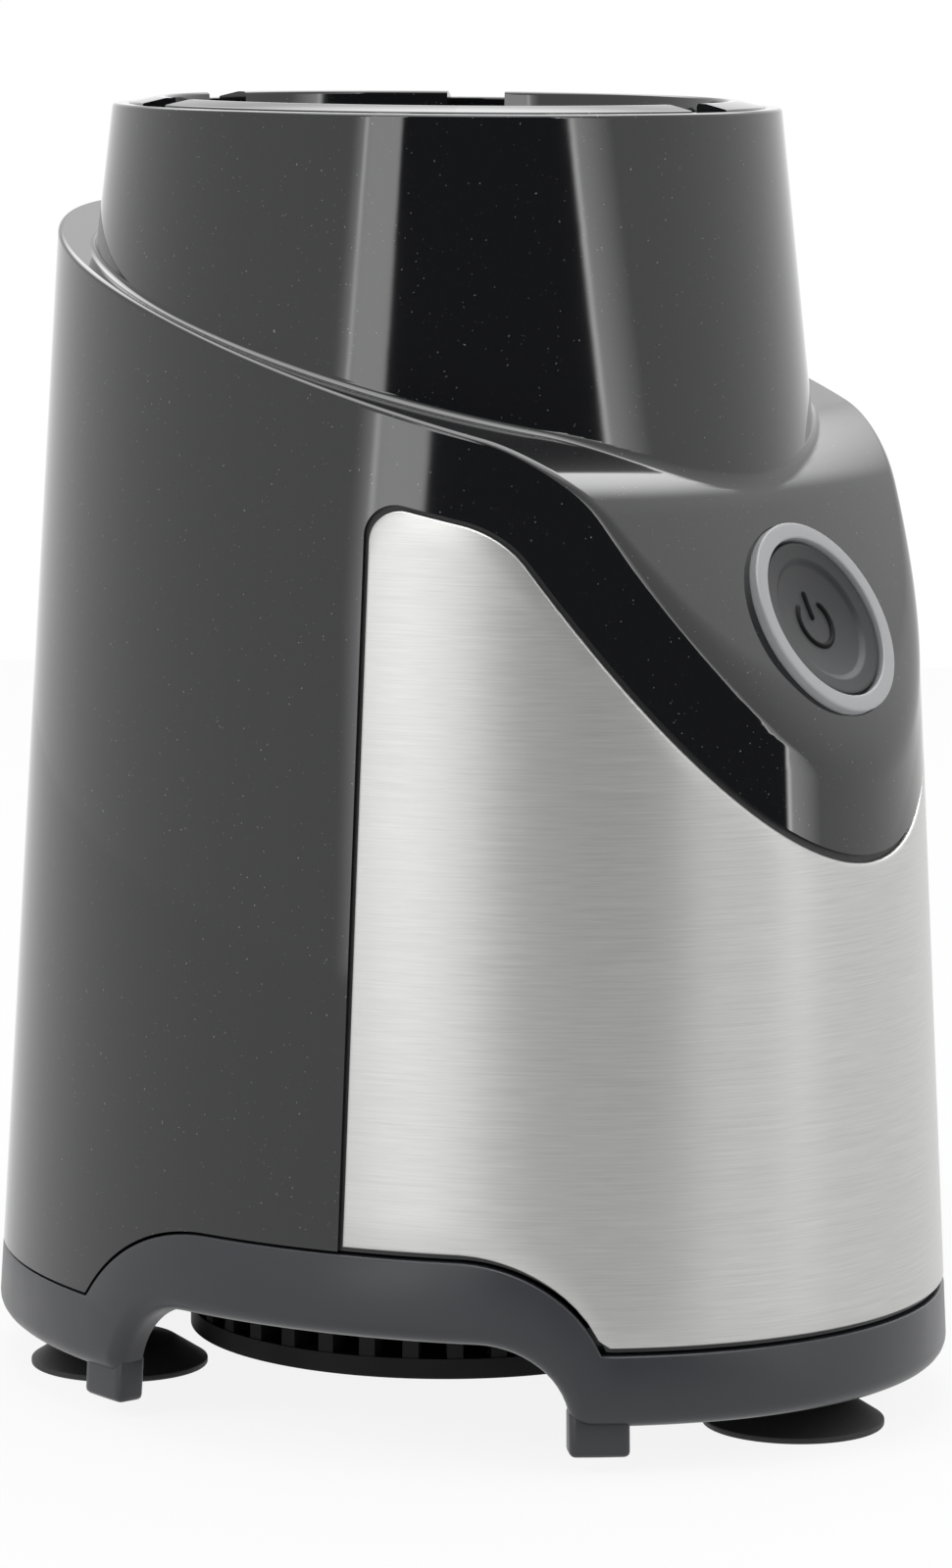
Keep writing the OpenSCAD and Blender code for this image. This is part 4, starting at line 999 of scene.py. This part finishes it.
def suction_feet():
    path = [(0.0, 3.0), (6.0, 2.6), (12.2, 0.0), (FOOT_R, 0.0), (FOOT_R, 0.9), (8.6, 4.0), (5.1, 5.0),
            (5.1, 8.0), (3.5, 8.0), (3.5, 21.0), (0.0, 21.0)]
    radii = [2.0, 0.3, 0.3, 0.3, 3.0, 1.2, 0.3, 0.0, 0.6]
    profile = round_path(path, radii, 4)
    verts, faces = [], []
    for x, y in FEET:
        faces += grid_faces(len(profile), FOOT_SIDES, wrap_cols=True, start=sum(len(v) for v in verts))
        verts.append(place(lathe_rings(profile, FOOT_SIDES), move(x, y, 0)))
    feet = make_mesh("suction_cups", np.concatenate(verts), faces, [MATS["rubber"]])
    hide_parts("suction_feet")


suction_feet()


# Power button

def button_ring():
    path = [(RING_IN, RING_END), (RING_IN, RING_PROUD), (RING_OUT, RING_PROUD),
            (RING_OUT, RING_STEP), (RING_TAIL, RING_STEP), (RING_TAIL, RING_END)]
    profile = round_path(path, [0.3, 0.35, 0.2, 0.0], 5)
    ring = lathe("button_bezel", profile, MATS["light_grey"], AT_BUTTON, 128)
    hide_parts("button_ring")


DISH_R = 9.2
CAP_T = 4.0
STEM_R = 3.5
STEM_END = -17.5
SYMBOL_R = 3.75
SYMBOL_SPAN = (128, 412)
SYMBOL_BAR = (0.3, 5.0)


def cap_height(r):
    # shallow outer slope, a small step, then a bowl
    outer = 0.6 - 0.5 * np.clip((BUTTON_R - r) / 3.6, 0, 1)
    bowl = 0.1 - 0.35 - 0.95 * (1 - np.clip(r / DISH_R, 0, 1) ** 2)
    mix = np.clip((r - DISH_R + 0.5) / 1.0, 0, 1)
    mix = mix * mix * (3 - 2 * mix)
    return bowl * (1 - mix) + outer * mix


def power_button():
    radii = np.concatenate([np.linspace(0, 8.4, 14), np.linspace(8.6, 11.6, 22)])
    face = [(r, float(cap_height(np.array(r)))) for r in radii]
    side = [(11.9, 0.5), (12.1, 0.3), (BUTTON_R, 0.0), (BUTTON_R, -CAP_T), (STEM_R, -CAP_T),
            (STEM_R, STEM_END), (0.0, STEM_END)]
    cap = lathe("button_cap", face + side, MATS["charcoal"], AT_BUTTON, 128, "button", closed=False)
    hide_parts("power_button")
    symbol_arc("symbol_ring", np.radians(np.linspace(*SYMBOL_SPAN, 64)), SYMBOL_R)
    line = np.array([(0.0, y) for y in np.linspace(*SYMBOL_BAR, 18)])
    symbol_tube("symbol_bar", line)


def symbol_arc(name, angles, r):
    symbol_tube(name, np.column_stack([r * np.cos(angles), r * np.sin(angles)]))


def symbol_tube(name, line, width=0.5, sides=10):
    # a rounded thread laid into the bowl
    z = cap_height(np.hypot(line[:, 0], line[:, 1])) - 0.12
    spine = np.column_stack([line, z])
    along = np.gradient(line, axis=0)
    along /= np.linalg.norm(along, axis=1, keepdims=True)
    across = np.column_stack([-along[:, 1], along[:, 0], np.zeros(len(line))])
    rings = []
    steps = np.arange(len(line))
    from_end = np.minimum(steps, steps[::-1]) / 2.0
    ends = np.sqrt(np.clip(1 - np.clip(1 - from_end, 0, 1) ** 2, 0.02, 1))
    for k in range(sides):
        a = 2 * math.pi * k / sides
        rings.append(spine + ends[:, None] * width * (math.cos(a) * across + np.array([0, 0, math.sin(a)])))
    # the thread is coloured with painted shade, dark like the inside of a groove
    thread(name, rings, AT_BUTTON, SYMBOL, "button")


def thread(name, lines, matrix, mat, body):
    # a closed tube whose lines run side by side along it
    sides, count = len(lines), len(lines[0])
    verts = place(np.array(lines).transpose(1, 0, 2), matrix)
    faces = grid_faces(count, sides, wrap_cols=True)
    faces += [tuple(range(sides)), tuple(range(len(verts) - 1, len(verts) - sides - 1, -1))]
    return make_mesh(name, verts, faces, [mat], body)


button_ring()
power_button()


# Springs for the button and the pin

SPRING_STEPS = 24
SPRING_SIDES = 8
SPRING_FLAT = 0.75


def coil_spring(name, node, matrix, low, high, radius, wire, turns):
    # one unbroken wire, with most of its first and last turns lying flat
    turned = np.linspace(0, turns, SPRING_STEPS * turns + 1)
    risen = np.clip((turned - SPRING_FLAT) / (turns - 2 * SPRING_FLAT), 0, 1)
    angle = 2 * math.pi * turned
    outward = np.column_stack([np.cos(angle), np.sin(angle), np.zeros(len(angle))])
    spine = radius * outward
    spine[:, 2] = low + wire + risen * (high - low - 2 * wire)
    lines = []
    for k in range(SPRING_SIDES):
        a = 2 * math.pi * k / SPRING_SIDES
        lines.append(spine + wire * (math.cos(a) * outward + np.array([0, 0, math.sin(a)])))
    spring = thread(name, lines, matrix, MATS["hard_steel"], "base")
    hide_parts(node)
    return spring


def shorten(spring, joint, travel, matrix, low, high):
    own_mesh(spring)


# Lower and upper end, then coil radius, wire radius and turns
CAP_SPRING = (-9.9, -4.1)
CAP_COIL = (5.1, 0.45, 4)
CAP_TRAVEL = 2.5
PIN_SPRING = (149.6, 159.4)
PIN_COIL = (2.0, 0.22, 8)
PIN_TRAVEL = 3.0
AT_PIN = move(0, PIN_Y, 0)
cap_spring = coil_spring("cap_spring", "button_spring", AT_BUTTON, *CAP_SPRING, *CAP_COIL)
shorten(cap_spring, "button_press", CAP_TRAVEL, AT_BUTTON, *CAP_SPRING)
pin_spring = coil_spring("pin_spring", "interlock_spring", AT_PIN, *PIN_SPRING, *PIN_COIL)
shorten(pin_spring, "pin_press", PIN_TRAVEL, AT_PIN, *PIN_SPRING)


# Camera

PHOTO_H = 1600
SENSOR_H = 36.0


def camera():
    azimuth = math.radians(-54.18)
    distance, height = 884.6, 215.8
    pitch, roll = math.radians(8.104), math.radians(0.485)
    focal, across = 6019.3, -4.557
    right = np.array([math.cos(azimuth), math.sin(azimuth), 0.0])
    ahead = np.array([-math.sin(azimuth), math.cos(azimuth), 0.0])
    forward = ahead * math.cos(pitch) - np.array([0, 0, math.sin(pitch)])
    up = np.cross(right, forward)
    right, up = right * math.cos(roll) + up * math.sin(roll), up * math.cos(roll) - right * math.sin(roll)
    data = bpy.data.cameras.new("camera")
    data.sensor_fit = "VERTICAL"
    data.sensor_height = SENSOR_H
    data.lens = focal / PHOTO_H * SENSOR_H
    data.shift_x = -across / PHOTO_H
    data.clip_start = 0.05
    data.clip_end = 50.0
    obj = bpy.data.objects.new("camera", data)
    bpy.context.scene.collection.objects.link(obj)
    turn = Matrix((right, up, -forward)).transposed().to_4x4()
    spot = np.array([math.sin(azimuth) * distance, -math.cos(azimuth) * distance, height]) * MM
    obj.matrix_world = Matrix.Translation(spot) @ turn
    bpy.context.scene.camera = obj


camera()


# Floor and light

# Bearings are measured from the camera's direction, which is this far round from X
CAMERA_TURN = -144.2
FLOOR_SIDES = 96
FLOOR_RADII = (0.0, 200.0, 600.0, 900.0)
STRIP_LIGHT = 3.0
STRIP_LINE = 3.0
LEFT_LIGHT = 1.1
RIGHT_LIGHT = 1.3
TOP_LIGHT = 4.5
FLOOR_GLOSS = 1.05
FLOOR_TONE = 0.86
FLOOR_GLOW = 0.88
AMBIENT = 0.55
DARK_DEPTH = 0.965
LAMP_AIM_Z = 0.1


def floor():
    verts = lathe_rings([(r, 0.0) for r in FLOOR_RADII], FLOOR_SIDES).reshape(-1, 3)
    faces = grid_faces(len(FLOOR_RADII), FLOOR_SIDES, wrap_cols=True)
    mat = bpy.data.materials.new("floor")
    mat.use_nodes = True
    tree = mat.node_tree
    tree.nodes.clear()
    out = tree.nodes.new("ShaderNodeOutputMaterial")
    mix = tree.nodes.new("ShaderNodeMixShader")
    cloth = add(tree, "ShaderNodeBsdfDiffuse", Color=(FLOOR_TONE, FLOOR_TONE, FLOOR_TONE, 1))
    white = add(tree, "ShaderNodeEmission", Color=(1, 1, 1, 1))
    path = tree.nodes.new("ShaderNodeLightPath")
    eye, gloss = path.outputs["Is Camera Ray"], path.outputs["Is Glossy Ray"]
    glow = maths(tree, "MULTIPLY", maths(tree, "MAXIMUM", eye, gloss), FLOOR_GLOW)
    tree.links.new(glow, mix.inputs[0])
    tree.links.new(maths(tree, "MULTIPLY_ADD", gloss, FLOOR_GLOSS - 1.0, 1.0), white.inputs["Strength"])
    tree.links.new(cloth.outputs[0], mix.inputs[1])
    tree.links.new(white.outputs[0], mix.inputs[2])
    tree.links.new(mix.outputs[0], out.inputs["Surface"])
    obj = make_mesh("floor", verts, faces, [mat], None)


def world():
    scene_world = bpy.data.worlds.new("studio")
    bpy.context.scene.world = scene_world
    scene_world.use_nodes = True
    tree = scene_world.node_tree
    tree.nodes.clear()
    out = tree.nodes.new("ShaderNodeOutputWorld")
    back = add(tree, "ShaderNodeBackground", Color=(1, 1, 1, 1))
    tree.links.new(back.outputs[0], out.inputs["Surface"])
    at = tree.nodes.new("ShaderNodeTexCoord").outputs["Generated"]
    spin = tree.nodes.new("ShaderNodeVectorRotate")
    spin.rotation_type = "Z_AXIS"
    spin.inputs["Angle"].default_value = math.radians(-CAMERA_TURN)
    tree.links.new(at, spin.inputs["Vector"])
    parts = tree.nodes.new("ShaderNodeSeparateXYZ")
    tree.links.new(spin.outputs[0], parts.inputs[0])
    bearing = maths(tree, "ARCTAN2", parts.outputs["Y"], parts.outputs["X"])
    height = maths(tree, "ARCSINE", parts.outputs["Z"], 0.0)
    rad = math.radians
    # a dark opening between two soft boxes, wider near the table, and a light overhead
    low = maths(tree, "MINIMUM", maths(tree, "MAXIMUM", height, rad(-1)), rad(12))
    drop = maths(tree, "SUBTRACT", rad(9.5), low)
    middle = maths(tree, "MULTIPLY_ADD", drop, 0.52, rad(13.5))
    reach = maths(tree, "MULTIPLY_ADD", drop, 1.92, rad(30.6))
    aside = maths(tree, "ABSOLUTE", maths(tree, "SUBTRACT", bearing, middle), 0.0)
    past = maths(tree, "SUBTRACT", aside, reach)
    inside = ramp(tree, past, rad(-0.8), rad(0.8), 1.0, 0.0)
    dark = maths(tree, "MULTIPLY", inside, soft_window(tree, height, rad(-25), rad(30), rad(5)))
    on_left = ramp(tree, maths(tree, "SUBTRACT", bearing, middle), rad(-2), rad(2), 1.0, 0.0)
    on_right = maths(tree, "SUBTRACT", 1.0, on_left)
    # the edge of each soft box: a glow that fades outwards, with a thin bright line in it
    left = ramp(tree, past, rad(9), rad(17), STRIP_LIGHT, 0.0)
    line = soft_window(tree, past, rad(11.2), rad(12.2), rad(0.5))
    left = maths(tree, "ADD", left, maths(tree, "MULTIPLY", line, STRIP_LINE))
    right = ramp(tree, past, 0.0, rad(14), STRIP_LIGHT, 0.0, "LINEAR")
    line = soft_window(tree, past, rad(0.5), rad(1.8), rad(0.6))
    right = maths(tree, "ADD", right, maths(tree, "MULTIPLY", line, STRIP_LINE))
    left = maths(tree, "MULTIPLY", left, on_left)
    right = maths(tree, "MULTIPLY", right, on_right)
    strip = maths(tree, "ADD", left, right)
    strip = maths(tree, "MULTIPLY", strip, maths(tree, "SUBTRACT", 1.0, inside))
    strip = maths(tree, "MULTIPLY", strip, soft_window(tree, height, rad(-18), rad(32), rad(5)))
    side = maths(tree, "MULTIPLY", ramp(tree, bearing, rad(70), rad(105), 0.0, RIGHT_LIGHT - LEFT_LIGHT),
                 ramp(tree, height, rad(2), rad(16), 0.0, 1.0))
    side = maths(tree, "ADD", side, LEFT_LIGHT)
    glossy = maths(tree, "MULTIPLY", side, maths(tree, "MULTIPLY_ADD", dark, -DARK_DEPTH, 1.0))
    glossy = maths(tree, "ADD", glossy, strip)
    behind = ramp(tree, maths(tree, "ABSOLUTE", bearing, 0.0), rad(110), rad(140), 0.0, rad(25))
    overhead = maths(tree, "ADD", height, behind)
    glossy = maths(tree, "ADD", glossy, ramp(tree, overhead, rad(46), rad(66), 0.0, TOP_LIGHT))
    path = tree.nodes.new("ShaderNodeLightPath")
    is_gloss = path.outputs["Is Glossy Ray"]
    is_eye = path.outputs["Is Camera Ray"]
    plain = maths(tree, "MULTIPLY", maths(tree, "SUBTRACT", 1.0, is_gloss), AMBIENT)
    level = maths(tree, "ADD", maths(tree, "MULTIPLY", glossy, is_gloss), plain)
    level = maths(tree, "MAXIMUM", level, is_eye)
    tree.links.new(level, back.inputs["Strength"])


def lamp(name, bearing, distance, height, size, power):
    data = bpy.data.lights.new(name, "AREA")
    data.shape = "RECTANGLE"
    data.size, data.size_y = size
    data.energy = power
    obj = bpy.data.objects.new(name, data)
    bpy.context.scene.collection.objects.link(obj)
    angle = math.radians(CAMERA_TURN + bearing)
    spot = Vector((math.cos(angle) * distance, math.sin(angle) * distance, height))
    aim = Vector((0, 0, LAMP_AIM_Z)) - spot
    obj.matrix_world = Matrix.Translation(spot) @ aim.to_track_quat("-Z", "Y").to_matrix().to_4x4()
    obj.visible_glossy = False
    obj.visible_camera = False


floor()
world()
lamp("key", -60, 1.3, 0.9, (0.8, 1.0), 9.0)
lamp("fill", 70, 1.4, 0.8, (0.8, 1.0), 7.0)
lamp("top", 180, 0.5, 1.5, (1.0, 1.0), 8.0)

bpy.context.scene.view_settings.view_transform = "Standard"

bpy.context.view_layer.update()
